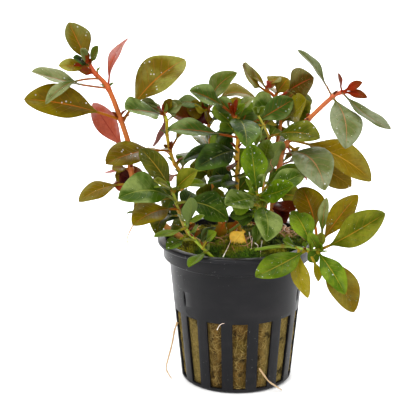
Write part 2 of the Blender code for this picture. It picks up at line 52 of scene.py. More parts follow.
# Seeds of the uneven surfaces and of the random draws; each shoot adds its number to its seed
SEEDS = {
    "stem": 11, "root": 12, "wool": 13, "wool_fine": 14, "moss": 15, "moss_fine": 16,
    "wool_fibres": 31, "moss_blades": 32, "litter": 33, "dead_leaves": 34, "drops": 35, "shoots": 51,
}

# Camera: the photo's size and the focal length in its pixels
FRAME_PIXELS = 416
FOCAL_PIXELS = 1283.5
SENSOR_WIDTH = 36.0
CAMERA_DISTANCE = 450.0
CAMERA_RISE = 15.46
CAMERA_TARGET = (-10.19, 0.0, 61.8)

# Stage, in metres: the floor curves up behind from the first depth of FLOOR_BEND to the second
FLOOR_HALF = 1.6
FLOOR_RISE = 0.9
FLOOR_BEND = (0.5, 1.1)
FLOOR_DROP = 0.0002
SURROUND_LIGHT = 0.35

# Lights, in metres: name, place, what it is turned to, diameter, power in watts
LIGHTS = [
    ("key", (-0.45, -0.6, 0.85), (0.0, 0.0, 0.06), 0.5, 11.0),
    ("fill", (0.7, -0.5, 0.5), (0.0, 0.0, 0.06), 0.7, 5.0),
    ("front", (0.1, -1.2, 0.25), (0.0, 0.0, 0.06), 1.0, 9.0),
    ("rim", (0.1, 0.8, 0.7), (0.0, 0.0, 0.06), 0.6, 5.0),
    ("backdrop", (0.0, 0.25, 0.75), (0.0, 1.0, 0.25), 0.8, 14.0),
]

# Pot
POT_HEIGHT = 51.5
LIP_RADIUS = 28.0
LIP_DEPTH = 1.6
COLLAR_RADIUS = 26.0
COLLAR_BOTTOM = 44.8
WALL_TOP_RADIUS = 24.0
FOOT_RADIUS = 19.7
FOOT_ROUND = 1.0
WALL = 0.9
FLOOR = 0.9
SLOTS = 15
SLOT_COMPASS = -88.0
SLOT_BOTTOM = 1.4
SLOT_TOP = 26.5
SLOT_WIDTH_LOW = 4.3
SLOT_WIDTH_HIGH = 5.4
SLIT_SLOTS = (3, 8, 13)       # slots that have a slit above them
SLIT_TURN = -7.0              # degrees from a slot's middle round to its slit
SLIT_BOTTOM = 30.0
SLIT_TOP = 36.0
SLIT_WIDTH = 1.0
SLOT_CELLS = 4                # grid columns across a slot
RIB_CELLS = 2                 # grid columns on either side of it
SECTOR_CELLS = 2 * RIB_CELLS + SLOT_CELLS
POT_BEVEL = 0.12

# Rock wool and moss
WOOL_TOP = 48.0
WOOL_GAP = 0.35
WOOL_BULGE = 0.55
WOOL_GRID = (100, 420)        # rings up the plug, points round it
WOOL_FIBRES = 3600
FIBRE_RADIUS = 21.0           # about how far from the axis the fibres lie
MOSS_RADIUS = 24.4
MOSS_MIDDLE = 51.0
MOSS_TILT = (0.04, -0.06)
MOSS_FALL = 2.0
MOSS_LUMP = 0.35
MOSS_GRID = (60, 160)         # rings out from the middle, points round it
MOSS_BLADES = 7000
MOSS_BLADE_LIMIT = 1.1        # how far blades may stand over the moss
LITTER_REACH = 23.6           # litter stays this near the axis

# Stems and leaves
STEM_TAPER = 0.3              # of the radius, from root to tip
STEM_PLUMP = 1.12             # times the radius in a shoot's entry
STEM_STEPS = 16               # rings from one node to the next
STEM_SIDES = 14
NODE_SWELLING = 0.28          # of the radius, at each node
LEAF_START = 0.35             # a leaf starts this share of the stem's radius off its middle
PETIOLE_HALF = 0.55           # half the petiole's width
PETIOLE_THICKNESS = 0.34
BLADE_THICKNESS = 0.12
BLADE_SKEW = 1.2
BLADE_FOLD = 0.25             # height of the V fold, the camber and the waves by half a width
BLADE_CAMBER = 0.07
MARGIN_HEIGHT = 0.07
MARGIN_WAVES = 1.6            # waves along a margin
MIDRIB_HEIGHT = 0.3
MIDRIB_SPREAD = 0.4
TIP_CURL = 0.03               # of the reach
LARGE_GRID = (40, 17)         # rings along a leaf, points across one of its faces
YOUNG_GRID = (18, 9)
DEAD_GRID = (24, 11)
SIDE_VEINS = 8.0
VEIN_SLANT = 2.2

# Water drops
DROPS_PER_LEAF = (12, 50)     # fewest, and one more than the most
DROP_RADIUS = 0.09
DROP_GROWTH = 0.24            # added to the radius of the largest
DROP_RISE = 0.55              # height of a drop by its radius

# Leaf finishes in eye colours: the upper face, what it blushes to, its ribs, the under face
# The blush is partly the leaf's own colour and partly painted sheen, the reflection of the white
# surround
LEAF_COLOURS = {
    "olive": ((86, 70, 2), (114, 112, 44), (148, 82, 14), (120, 90, 38)),
    "olive_brown": ((76, 60, 2), (92, 80, 2), (142, 76, 14), (126, 76, 38)),
    "ochre": ((92, 74, 2), (102, 92, 26), (142, 104, 30), (136, 86, 30)),
    "brown_olive": ((88, 80, 14), (100, 92, 38), (140, 68, 20), (112, 80, 48)),
    "brown_grey": ((62, 46, 2), (90, 84, 42), (142, 48, 26), (104, 72, 48)),
    "grey_olive": ((90, 74, 2), (92, 90, 38), (148, 76, 16), (128, 80, 48)),
    "grey_green": ((62, 74, 16), (108, 114, 70), (150, 80, 50), (140, 84, 72)),
    # The next finish's grey is painted sheen, the reflection of the white surround
    "pale_grey": ((72, 80, 38), (102, 108, 80), (138, 92, 60), (132, 92, 72)),
    "olive_green": ((58, 66, 2), (94, 96, 20), (136, 100, 24), (92, 92, 30)),
    "deep_olive": ((48, 50, 2), (68, 68, 10), (130, 100, 24), (70, 72, 20)),
    "green_sheen": ((44, 64, 2), (102, 114, 58), (112, 118, 52), (84, 98, 48)),
    "green": ((52, 74, 2), (86, 104, 18), (136, 116, 30), (88, 98, 36)),
    "bright_green": ((52, 76, 2), (82, 104, 6), (120, 116, 20), (92, 106, 30)),
    "mid_green": ((26, 44, 2), (62, 82, 16), (112, 110, 38), (76, 92, 38)),
    "dark_green": ((14, 28, 2), (54, 74, 20), (76, 78, 28), (60, 76, 30)),
    "dark_sheen": ((40, 58, 6), (88, 102, 52), (132, 56, 20), (76, 76, 48)),
    "light_green": ((72, 88, 2), (96, 108, 52), (128, 130, 58), (100, 114, 56)),
    "yellow_green": ((110, 102, 2), (122, 110, 34), (140, 114, 32), (116, 100, 30)),
    "pink": ((150, 70, 50), (156, 104, 96), (112, 34, 24), (140, 76, 68)),
    "pink_grey": ((134, 94, 74), (146, 110, 102), (132, 56, 38), (142, 94, 86)),
    "red": ((110, 28, 2), (84, 38, 2), (136, 44, 16), (132, 50, 30)),
    "brown_red": ((90, 34, 6), (84, 60, 8), (112, 34, 8), (96, 40, 20)),
    "dark_red": ((44, 2, 2), (68, 22, 2), (88, 20, 2), (72, 8, 2)),
    "amber": ((250, 206, 84), (238, 180, 60), (224, 150, 50), (250, 206, 90)),
    "rust": ((146, 74, 12), (110, 84, 10), (120, 60, 10), (150, 80, 16)),
}

# Stem colours: at the root, half way and at the tip
STEM_COLOURS = {
    "left_tall": ((170, 118, 60), (162, 90, 36), (150, 60, 28)),
    "left_inner": ((188, 126, 50), (176, 136, 34), (162, 162, 30)),
    "left_front": ((162, 120, 46), (156, 136, 54), (132, 144, 42)),
    "left_rim": ((114, 130, 26), (134, 150, 44), (116, 140, 30)),
    "back_left": ((176, 112, 44), (178, 112, 30), (164, 140, 30)),
    "centre": ((172, 126, 40), (172, 132, 34), (170, 96, 22)),
    "centre_pale": ((180, 122, 48), (182, 142, 60), (170, 172, 64)),
    "back_right": ((160, 98, 42), (170, 98, 32), (160, 64, 24)),
    "right_arch": ((170, 120, 56), (176, 106, 56), (176, 84, 56)),
    "front_centre": ((92, 100, 22), (100, 114, 24), (108, 126, 30)),
    "right_rim": ((114, 138, 36), (130, 152, 54), (130, 148, 44)),
}

# One entry for each shoot. Its route runs from the root end (x, y) on the moss to the tip, a
# point at each node. A leaf's row is: place on the route, compass and rise of its tip seen from
# there, reach, width, roll, petiole (% of the reach), arch and sideways bend (% of the reach),
# finish. Large leaves are pieces of their own; a shoot's young ones are one piece.
SHOOTS = {
    "left_tall": {
        "radius": 1.0,
        "route": [(-19, 5), (-29, 2, 58), (-35, 0, 68), (-37, -1, 76), (-37, -2, 83),
                  (-40, -3, 94), (-44, -4, 105), (-48, -5, 110), (-50, -5, 113)],
        "leaves": [
            (6.0, -167, 15, 26.5, 10, 19, 33, -4, -1, "grey_green"),
            (5.0, -169, 15, 33.5, 13.5, 49, 22, 3, 0, "olive_brown"),
            (6.0, 49, 61, 19, 7.5, 18, 12, 6, -5, "pink"),
            (4.9, 30, 40, 32, 15.5, -31, 22, 3, -4, "olive"),
            (2.3, -147, -8, 22, 8, 28, 25, 7, 5, "ochre"),
            (6.6, -133, -11, 24.5, 5, 20, 35, 7, 6, "grey_green"),
        ],
        "young": [
            (8.0, 159, 64, 16, 10, 29, 8, -1, -2, "grey_olive"),
            (3.6, 145, 47, 24.5, 8, 54, 18, 3, 0, "pink"),
            (8.0, -153, 4, 11, 6, 42, 10, -1, -4, "olive"),
            (8.0, -50, 56, 8.5, 4, -92, 10, -1, 1, "grey_green"),
            (8.0, -111, 48, 8.5, 4, 95, 10, 0, 0, "grey_green"),
            (8.0, -129, 25, 8.5, 4, 55, 10, 0, 0, "dark_green"),
            (8.0, -107, 47, 5, 3, 100, 10, 0, 0, "red"),
            (5.0, -145, 42, 4.5, 2, 45, 10, 0, 0, "brown_red"),
            (5.1, 39, 33, 3.5, 2, 0, 10, 0, 0, "brown_red"),
            (3.0, -155, 9, 7, 6, 25, 20, 5, 0, "olive_brown"),
            (3.0, 169, -9, 10, 3, 10, 30, 0, 0, "pink"),
            (2.6, 151, -18, 8, 7, 20, 20, 0, 0, "brown_red"),
            (2.0, 160, -33, 7, 3, 20, 20, 0, 0, "pink"),
            (1.3, -171, -9, 8, 3, 5, 20, 0, 0, "green"),
            (2.5, -174, 26, 5, 6, 78, 12, 5, 0, "dark_red"),
            (2.0, 173, 15, 8.5, 4, 74, 12, 5, 0, "red"),
            (1.4, 158, -4, 5, 6, 74, 12, 5, 0, "olive"),
            (2.6, 165, 5, 6.5, 5, 72, 12, 5, 0, "olive_brown"),
            (2.6, 59, 34, 5, 5, -36, 12, 5, 0, "brown_red"),
            (8.0, -147, -5, 3.5, 2.5, 68, 12, 5, 0, "red"),
            (8.0, -58, 62, 2.5, 2.5, -90, 12, 5, 0, "red"),
            (7.0, -158, 17, 5.5, 2.5, 80, 12, 5, 0, "red"),
            (7.0, 0, 18, 1, 2.5, -76, 12, 5, 0, "red"),
            (8.0, -150, 0, 6, 3.5, 92, 6, 5, 0, "red"),
            (8.0, -121, 60, 6, 3, 90, 6, 5, 0, "red"),
            (7.4, -148, 7, 5.5, 3, 76, 6, 5, 0, "brown_red"),
        ],
    },
    "left_inner": {
        "radius": 0.7,
        "route": [(-13, 8), (-18, 8, 58), (-20, 8, 72), (-22, 7, 76), (-23.5, 6, 81),
                  (-24.5, 5, 87), (-24.5, 4, 92), (-25.5, 3, 95)],
        "leaves": [
            (6.8, -128, 14, 21, 12, 32, 10, 1, 0, "dark_sheen"),
            (4.0, -134, 3, 29.5, 12, 27, 25, 4, 0, "olive_brown"),
        ],
        "young": [
            (7.0, -9, 29, 7.5, 6.5, -40, 15, 3, 2, "grey_green"),
            (7.0, 116, -56, 16.5, 5.5, 29, 12, -9, 7, "pink_grey"),
            (7.0, -120, 35, 5, 2.5, 55, 10, 0, 0, "red"),
            (7.0, -60, 55, 4.5, 2.5, 95, 10, 0, 0, "green"),
            (7.0, -100, 65, 4, 2, -75, 10, 0, 0, "red"),
            (2.7, 41, 49, 4.5, 4, -5, 40, 0, 0, "green"),
            (2.0, -147, -5, 11, 7, 20, 15, 0, 0, "pink_grey"),
            (4.2, -156, 25, 2.5, 2, 40, 10, 0, 0, "brown_red"),
            (4.0, -75, 54, 5, 2, -115, 10, 0, 0, "brown_red"),
            (4.0, 21, 53, 12.5, 5, -15, 30, 5, 0, "brown_olive"),
            (3.7, 112, -12, 22, 9, 0, 15, 8, 0, "olive"),
            (2.0, 78, 12, 21, 9, 10, 15, 8, 0, "olive_green"),
            (6.9, -13, 39, 6, 6, -76, 10, 5, 0, "grey_green"),
            (7.0, 161, 28, 7, 5, 2, 10, 9, 5, "grey_green"),
            (1.6, -179, -31, 8.5, 9, 76, 12, 5, 0, "green"),
            (1.3, -147, -36, 9, 6, 58, 12, 5, 0, "olive_green"),
            (1.2, -93, 72, 6.5, 8, 90, 12, 5, 0, "green"),
            (7.0, 160, 21, 9.5, 6, 83, 10, 5, 0, "grey_green"),
            (7.0, -21, 62, 6, 3.5, -90, 8, 5, 0, "olive_brown"),
        ],
    },
    "left_front": {
        "radius": 0.6,
        "route": [(-11, -9), (-17, -14, 57), (-20, -19, 66), (-22, -22, 74)],
        "leaves": [
            (2.8, 158, 52, 19, 9, 32, 12, 4, 3, "deep_olive"),
            (2.5, -140, 13, 23.5, 12.5, 43, 12, 10, 8, "green_sheen"),
            (2.1, -134, -2, 20.5, 11, 22, 15, 6, 2, "olive_brown"),
            (2.4, -2, -18, 18.5, 11.5, -41, 12, 9, -7, "mid_green"),
            (1.8, -121, -12, 14.5, 7.5, -5, 10, 14, 13, "olive_green"),
        ],
        "young": [
            (2.9, -22, 44, 12, 7, -65, 10, 5, 0, "olive_green"),
            (3.0, -126, 28, 11, 5, 40, 10, 5, 0, "olive_green"),
            (3.0, -140, 18, 8, 3, 5, 10, 5, 0, "green"),
            (3.0, 37, 3, 14, 4.5, -33, 35, 1, -1, "light_green"),
            (3.0, 180, 50, 4, 3, 25, 10, 0, 0, "green"),
            (3.0, -48, 30, 4, 3, 5, 10, 0, 0, "green"),
            (1.6, 142, 18, 9, 8, 60, 12, 5, 0, "dark_green"),
            (2.6, 143, -14, 6.5, 8, 82, 12, 5, 0, "olive_green"),
            (1.9, 72, 17, 14, 7, -30, 12, 5, 0, "mid_green"),
            (1.2, 135, 5, 7, 6, 64, 12, 5, 0, "olive_green"),
        ],
    },
    "left_rim": {
        "radius": 0.5,
        "route": [(-8, -22), (-12, -23.5, 54.5), (-15, -24.5, 58), (-17, -25, 61), (-18, -25, 64)],
        "leaves": [],
        "young": [
            (3.2, -79, 69, 13, 6.5, -28, 8, -3, -5, "green_sheen"),
            (3.4, -126, 3, 17, 5, 7, 20, -2, -4, "green"),
            (1.9, -125, 2, 15.5, 5, 22, 42, 7, 3, "mid_green"),
            (2.7, -48, 43, 5.5, 2, -75, 10, -9, 11, "light_green"),
            (1.0, -36, 48, 8.5, 4.5, -62, 35, 5, -5, "green"),
            (0.7, -111, -3, 15.5, 5, -7, 15, 2, -2, "bright_green"),
            (4.0, -32, 23, 8.5, 3, -43, 10, -2, 2, "light_green"),
            (4.0, -101, 39, 6, 3, 31, 10, -8, 7, "green"),
            (1.2, 37, 41, 8.5, 4, -8, 10, 11, -9, "dark_sheen"),
        ],
    },
    "back_left": {
        "radius": 0.6,
        "route": [(-5, 14), (-8, 15, 61), (-9, 15, 76), (-10, 15, 88), (-10, 14, 95)],
        "leaves": [
            (3.6, -45, 50, 21.5, 8.5, -79, 12, 9, -9, "grey_green"),
            (3.9, 8, 12, 17.5, 9, -23, 25, 16, -13, "brown_olive"),
        ],
        "young": [
            (3.9, -165, 15, 12, 7, 32, 12, 9, 3, "dark_sheen"),
            (3.1, -156, 21, 16, 9, 40, 25, -2, -3, "brown_red"),
            (3.2, -38, 31, 9, 5, -50, 15, 0, 0, "dark_sheen"),
            (4.0, -137, 48, 4.5, 4, 65, 10, 0, 0, "mid_green"),
            (4.0, 33, 58, 4, 4, 0, 10, 0, 0, "olive_green"),
            (2.7, -121, 14, 6, 3, 35, 40, 0, 0, "olive_green"),
            (2.0, 104, 13, 20, 9, 0, 15, 10, 0, "olive_green"),
            (3.0, 57, 10, 22, 9, 0, 15, 10, 0, "mid_green"),
            (1.0, 133, 15, 21, 9, 0, 15, 10, 0, "olive_green"),
            (0.6, 80, 3, 17.5, 8, 0, 15, 10, 0, "olive_green"),
            (3.9, -92, -36, 6.5, 5, 55, 10, -3, 4, "olive_brown"),
            (3.9, -139, 22, 7, 2.5, 80, 10, -3, -21, "yellow_green"),
            (3.8, -20, -13, 6.5, 6.5, -26, 10, 2, 0, "mid_green"),
            (3.9, -117, 50, 5.5, 2, 98, 10, -15, -19, "red"),
            (1.6, -159, 27, 9.5, 10, 84, 12, 5, 0, "olive_green"),
            (1.3, -13, 54, 8.5, 9, -90, 12, 5, 0, "olive_green"),
            (1.0, -142, 26, 9, 9, 90, 12, 5, 0, "olive_green"),
            (0.8, -58, 49, 8.5, 9, -90, 12, 5, 0, "olive_green"),
            (3.9, -155, -41, 6.5, 6, 62, 10, 5, 0, "dark_red"),
            (3.9, -165, 0, 8, 7, 74, 10, 5, 0, "olive_brown"),
            (1.6, -121, 5, 3.5, 6, 68, 10, 5, 0, "olive_green"),
            (3.4, -147, 65, 7.5, 3, 90, 10, 5, 0, "olive_green"),
            (2.6, -112, 40, 4.5, 5, 90, 12, 5, 0, "olive_green"),
        ],
    },
    "centre": {
        "radius": 0.75,
        "route": [(1, 3), (0, 3, 64), (0, 2, 73), (0, 1, 82), (0, 0, 89), (-1, -1, 95)],
        "leaves": [
            (5.0, -155, 32, 19.5, 10, 40, 28, 4, 0, "dark_sheen"),
            (4.8, -82, -11, 24, 10.5, 10, 6, 10, 0, "mid_green"),
            (3.7, -158, 13, 26, 10, 26, 25, 1, 0, "dark_sheen"),
            (3.0, -129, -4, 22.5, 10, 40, 10, 12, 0, "dark_green"),
            (3.0, 164, -12, 20.5, 8, 30, 20, 8, 0, "dark_green"),
        ],
        "young": [
            (4.0, 137, -19, 11, 8, 55, 10, 5, 0, "mid_green"),
            (5.0, -110, 40, 8.5, 3, 95, 10, 0, 0, "red"),
            (5.0, -67, 35, 9, 3, -95, 10, 0, 0, "green"),
            (5.0, -32, 43, 10, 5, -50, 10, 5, 0, "grey_green"),
            (5.0, -58, 79, 6, 3, -90, 10, 0, 0, "red"),
            (2.4, -164, -4, 17, 5, 15, 10, 5, 0, "green"),
            (2.0, -146, -3, 12.5, 5, 15, 10, 0, 0, "mid_green"),
            (1.7, -113, 6, 12.5, 6, 10, 10, 5, 0, "mid_green"),
            (2.6, -113, -13, 8, 4, -15, 10, 0, 0, "brown_red"),
            (2.0, -69, 15, 11, 5, -35, 10, 0, 0, "green"),
            (1.0, -120, 8, 17.5, 6, 25, 15, 0, 0, "green"),
            (2.0, 67, 14, 22, 9, 0, 15, 10, 0, "mid_green"),
            (4.0, 78, 2, 15, 8, 0, 15, 10, 0, "dark_sheen"),
            (1.0, 90, 0, 19, 8, 0, 15, 10, 0, "olive_green"),
            (1.4, -119, 22, 12, 7.5, 58, 10, 5, 2, "mid_green"),
            (4.8, 155, 47, 9.5, 6, 77, 15, 5, 0, "dark_sheen"),
            (4.6, 45, 51, 10, 6, -59, 15, 5, 0, "green"),
            (4.0, 50, 48, 11.5, 9, -40, 10, 5, 0, "dark_sheen"),
            (3.8, 129, 34, 9, 7, 54, 10, 5, 0, "green"),
            (3.4, 40, 35, 14, 8, -52, 10, 5, 0, "green"),
            (3.0, 140, 0, 8, 9, 70, 10, 5, 0, "mid_green"),
            (2.6, 133, 35, 14.5, 9, 46, 12, 5, 0, "green"),
            (2.2, 53, 38, 10, 9, -30, 12, 5, 0, "green"),
            (1.6, 157, 26, 10, 9, 76, 10, 5, 0, "mid_green"),
            (1.3, 39, 39, 6.5, 9, -52, 10, 5, 0, "green"),
            (1.0, -168, 19, 5, 8, 88, 10, 5, 0, "green"),
            (0.9, -31, 29, 7, 8, -100, 10, 5, 0, "green"),
            (4.9, 86, 51, 8, 6, -4, 10, 5, 0, "olive_brown"),
            (4.2, 144, 32, 12.5, 5, 56, 10, 5, 0, "green"),
            (1.2, 134, 9, 4.5, 8, 60, 10, 5, 0, "mid_green"),
            (4.0, 17, 27, 23, 8.5, -68, 35, 5, 0, "dark_sheen"),
        ],
    },
    "centre_pale": {
        "radius": 0.5,
        "route": [(8, 4), (9, 4, 64), (10, 4, 82), (11, 3, 86), (9, 2, 91), (7, 0, 95)],
        "leaves": [
            (3.1, -41, 8, 22, 10, -38, 20, 8, -3, "olive_green"),
        ],
        "young": [
            (1.7, -85, 41, 16, 7, -145, 10, 5, 0, "light_green"),
            (5.0, -77, 27, 9, 3, -95, 10, 0, 0, "light_green"),
            (5.0, -113, 33, 6, 3, 85, 10, 0, 0, "light_green"),
            (4.0, -107, -25, 11.5, 3, -20, 20, 0, 0, "light_green"),
            (4.0, -158, 4, 5.5, 3, 40, 30, 0, 0, "yellow_green"),
            (4.0, 50, -22, 4, 3, -65, 10, 0, 0, "light_green"),
            (1.9, 35, -7, 6, 4, -25, 15, 0, 0, "yellow_green"),
            (1.3, -32, 65, 18, 8, 47, 10, 5, 6, "light_green"),
            (4.0, 59, 20, 5, 7, -42, 12, 5, 0, "yellow_green"),
            (3.0, 62, 26, 6.5, 7, -36, 12, 5, 0, "light_green"),
            (2.2, 161, -42, 9, 8, 90, 12, 5, 0, "light_green"),
            (1.3, 28, 12, 8.5, 8, -68, 12, 5, 0, "light_green"),
            (0.9, -133, 1, 5.5, 8, 68, 12, 5, 0, "light_green"),
            (3.2, 175, 17, 2.5, 5, 74, 12, 5, 0, "light_green"),
        ],
    },
    "back_right": {
        "radius": 0.7,
        "route": [(9, 13), (11, 14, 61), (14, 15, 79), (16, 13, 93), (14, 13, 98),
                  (10, 12, 102)],
        "leaves": [
            (4.5, -135, 39, 19, 9, 58, 25, -8, -3, "olive"),
            (4.0, -34, 33, 17, 11.5, -73, 35, 3, -1, "brown_grey"),
            (3.0, -144, 10, 14.5, 11, 51, 5, 9, 9, "green_sheen"),
            (2.8, -59, 33, 17.5, 10.5, -79, 25, -2, 6, "yellow_green"),
        ],
        "young": [
            (5.0, 31, 33, 7, 7, -10, 20, 5, 0, "grey_olive"),
            (5.0, 0, 30, 4, 4, -35, 10, 0, 0, "brown_red"),
            (5.0, -60, 45, 4, 3, 75, 10, 0, 0, "red"),
            (3.5, 0, 7, 11.5, 6, -75, 40, 5, 0, "grey_green"),
            (3.5, 150, -12, 4, 4, 25, 10, 0, 0, "green"),
            (2.0, -156, 42, 10, 7, 45, 20, 0, 0, "olive_brown"),
            (4.0, 89, 0, 20, 9, 0, 15, 10, 0, "grey_olive"),
            (3.0, 67, -2, 19.5, 9, 0, 15, 10, 0, "olive"),
            (2.0, 68, 8, 20.5, 10, 0, 15, 10, 0, "olive_green"),
            (1.0, 52, 14, 21, 9, 0, 15, 10, 0, "olive_green"),
            (4.2, 33, 47, 8.5, 8, -56, 15, 5, 0, "grey_olive"),
            (3.6, 40, 22, 8.5, 9, -68, 15, 5, 0, "olive"),
            (4.6, -160, 44, 14.5, 5.5, 36, 15, 3, 1, "grey_olive"),
            (3.0, 65, -17, 8, 8, -90, 15, 5, 0, "olive"),
            (3.2, 126, 34, 4.5, 9, 40, 15, 5, 0, "grey_olive"),
            (2.9, 86, 14, 5, 9, -8, 15, 5, 0, "dark_sheen"),
            (2.7, 124, -7, 3, 9, 72, 15, 5, 0, "mid_green"),
            (3.0, 26, -2, 9, 7, -74, 15, 5, 0, "olive"),
            (2.4, 31, 64, 3, 8, -56, 12, 5, 0, "olive_brown"),
            (2.7, -29, 36, 14, 9.5, -90, 12, 5, 0, "olive_green"),
        ],
    },
    "right_arch": {
        "radius": 0.95,
        "route": [(12, 7), (13, 6, 63), (15, 5, 76), (17, 3, 84), (24, 0, 93),
                  (32, -4, 102), (35, -6, 104)],
        "leaves": [
            (5.0, 170, 53, 20, 8.5, 10, 20, 4, 3, "pale_grey"),
            (5.0, -80, -34, 23, 12, 12, 4, 7, -5, "pale_grey"),
            (6.0, -26, -32, 21, 10, -5, 5, -6, 3, "pale_grey"),
            (2.5, -60, -15, 27.5, 14, -15, 10, 17, -12, "pale_grey"),
            (3.2, -9, -24, 32, 13.5, -37, 15, 8, -4, "ochre"),
        ],
        "young": [
            (6.0, -142, 74, 7, 4, 60, 10, 0, 0, "red"),
            (6.0, -24, -6, 9, 3.5, -45, 10, 5, 0, "red"),
            (6.0, -24, 30, 8, 3.5, -60, 10, 0, 0, "red"),
            (3.0, 12, -34, 29.5, 9, -84, 30, 5, 0, "ochre"),
            (3.0, -7, -59, 15, 3, -20, 30, 0, 0, "pink"),
            (2.7, -91, 13, 6, 2, -40, 10, 0, 0, "brown_red"),
            (1.0, -57, -8, 12, 9, -10, 10, 0, 0, "dark_red"),
            (2.0, 23, 39, 10, 3, -15, 10, 0, 0, "olive"),
            (3.0, 59, 0, 19.5, 9, 0, 15, 10, 0, "olive_brown"),
            (2.0, 45, -11, 21.5, 9, 0, 15, 10, 0, "olive"),
            (1.6, 33, -25, 9.5, 9, -88, 12, 5, 0, "mid_green"),
            (1.2, 1, -7, 9, 9, -74, 12, 5, 0, "olive_green"),
            (0.8, -62, -19, 10, 8, -40, 12, 5, 0, "dark_red"),
            (1.9, 20, -32, 10, 7, -86, 12, 5, 0, "mid_green"),
        ],
    },
    "front_centre": {
        "radius": 0.7,
        "route": [(7, -13), (7, -16, 60), (7, -18, 68), (6, -19, 73)],
        "leaves": [
            (3.0, 107, 71, 16, 10, -6, 5, -1, -2, "bright_green"),
            (2.6, -47, 23, 17.5, 8, -63, 8, 1, 5, "bright_green"),
            (2.6, -121, 7, 21, 9, 39, 10, 0, -2, "green_sheen"),
            (2.1, -84, -22, 20, 10, 15, 8, 7, -3, "green_sheen"),
            (2.6, 19, 23, 18.5, 8, -41, 15, 3, 2, "green_sheen"),
        ],
        "young": [
            (3.0, -115, 36, 5, 3, 80, 10, 0, 0, "green"),
            (3.0, -55, 59, 7.5, 4, -90, 10, 0, 0, "green_sheen"),
            (2.4, -64, 5, 7.5, 4, 10, 10, 0, 0, "green"),
            (2.3, -95, 5, 5, 3, -10, 10, 0, 0, "green"),
            (2.2, 36, 21, 23.5, 4, -78, 20, -2, -19, "green"),
            (2.2, 122, 42, 10, 4, -10, 10, 0, 0, "green"),
            (1.4, -123, -72, 8.5, 4.5, -1, 10, -1, -6, "green_sheen"),
            (2.8, -64, -54, 6, 3.5, 11, 10, 9, -8, "olive_green"),
            (1.6, 157, -9, 11, 6, 41, 10, 0, -3, "mid_green"),
            (1.4, 147, -7, 9, 7, 76, 12, 5, 0, "mid_green"),
            (1.8, 129, -19, 5, 6, 90, 12, 5, 0, "green"),
            (2.6, -160, 24, 4, 5, 84, 12, 5, 0, "green"),
            (2.4, 32, 2, 4.5, 5, -70, 12, 5, 0, "green"),
            (2.0, 147, -15, 11.5, 6, 82, 12, 5, 0, "green"),
        ],
    },
    "right_rim": {
        "radius": 0.6,
        "route": [(4, -18), (15, -23, 55), (22, -27, 55), (27, -28, 55)],
        "leaves": [
            (2.4, 124, 47, 15.5, 8.5, 17, 12, 5, 4, "green"),
            (2.8, 105, 45, 25, 10.5, 18, 30, 2, 5, "olive_brown"),
            (2.7, 8, 54, 23, 8, -48, 18, 0, 0, "olive_brown"),
            (2.9, -28, 36, 27, 11.5, -61, 14, 0, 2, "olive_green"),
            (2.1, -138, -9, 23.5, 9.5, 32, 8, 1, -1, "green"),
            (1.7, -83, -38, 19.5, 6.5, 11, 6, -1, 9, "yellow_green"),
            (2.7, -65, -25, 21, 7.5, -22, 8, 5, -1, "green"),
            (2.7, -41, -47, 24, 11, -27, 14, 6, -4, "ochre"),
        ],
        "young": [
            (2.1, -66, -44, 12, 3.5, 8, 40, 6, -5, "yellow_green"),
            (3.0, -80, 12, 5, 3.5, 10, 10, 0, 0, "bright_green"),
            (2.4, -100, 60, 4.5, 3, 40, 10, 0, 0, "green"),
            (1.6, -165, 30, 6, 5, 25, 10, 0, 0, "green"),
            (3.0, 75, 66, 18, 5, 33, 30, -1, 1, "grey_green"),
            (2.3, -82, 51, 5, 4, -110, 10, 0, 0, "green"),
            (3.0, -154, -36, 5.5, 4.5, 62, 6, 5, 0, "green"),
            (3.0, -72, 50, 3, 4, -90, 6, 5, 0, "bright_green"),
            (2.9, -179, 60, 7, 4, 82, 6, 5, 0, "green"),
            (2.8, -6, 78, 6.5, 3.5, -90, 6, 5, 0, "olive_green"),
        ],
    },
}

# Root colours: at the start and at the end
ROOT_COLOURS = {
    "aerial_root": ((176, 112, 78), (182, 140, 100)),
    "pale_root": ((158, 128, 88), (176, 152, 120)),
    "white_root": ((236, 228, 214), (224, 180, 160)),
    "brown_root": ((150, 84, 50), (172, 108, 70)),
    "green_stalk": ((92, 104, 22), (116, 128, 36)),
    "dry_stalks": ((140, 88, 48), (204, 156, 108)),
}

# Roots and bare stalks, as points along them
AERIAL_ROOT = [(-31, 1, 61), (-35, -1, 58), (-38, -2, 53), (-38.5, -2, 50), (-37, -2, 47)]
SIDE_ROOT = [(-21, -6, 21.5), (-22, -7, 19), (-23, -8.5, 14), (-24.5, -10, 8.5), (-25, -11, 6),
             (-24, -12, 4), (-23, -12, 2.5)]
FRONT_ROOT = [(7.6, -19.6, 9.5), (9.2, -20.6, 7.4), (11, -20.6, 5), (14, -19.4, 2.4),
              (15.5, -18.6, 1.0)]
SURFACE_ROOTS = [
    [(-5.2, -24, 51.4), (-4.3, -22.5, 52.7), (-3.3, -20, 54), (-2.4, -17, 55.2)],
    [(4, -9, 55.7), (4.4, -11, 54.1), (4.9, -14, 53.3)],
    [(5.3, -9, 55.3), (4.9, -13, 53.3), (4.4, -18, 52)],
    [(5.8, -15, 53.6), (6.5, -16, 53.3), (6.8, -17, 53.1), (6.6, -18, 52.4), (6.4, -19, 51.6)],
    [(8.3, -14, 54), (7.8, -18, 53.1), (7.5, -21, 51.9), (7.4, -23.5, 50.9)],
    [(16.2, 0, 56), (17.2, -1, 55.5), (16.5, -2, 54.3), (18.2, -2, 53.6)],
    [(-7.1, -21.6, 24.5), (-6.1, -21.7, 26.3), (-4.7, -21.7, 26.9), (-3.4, -21.5, 25.9)],
]
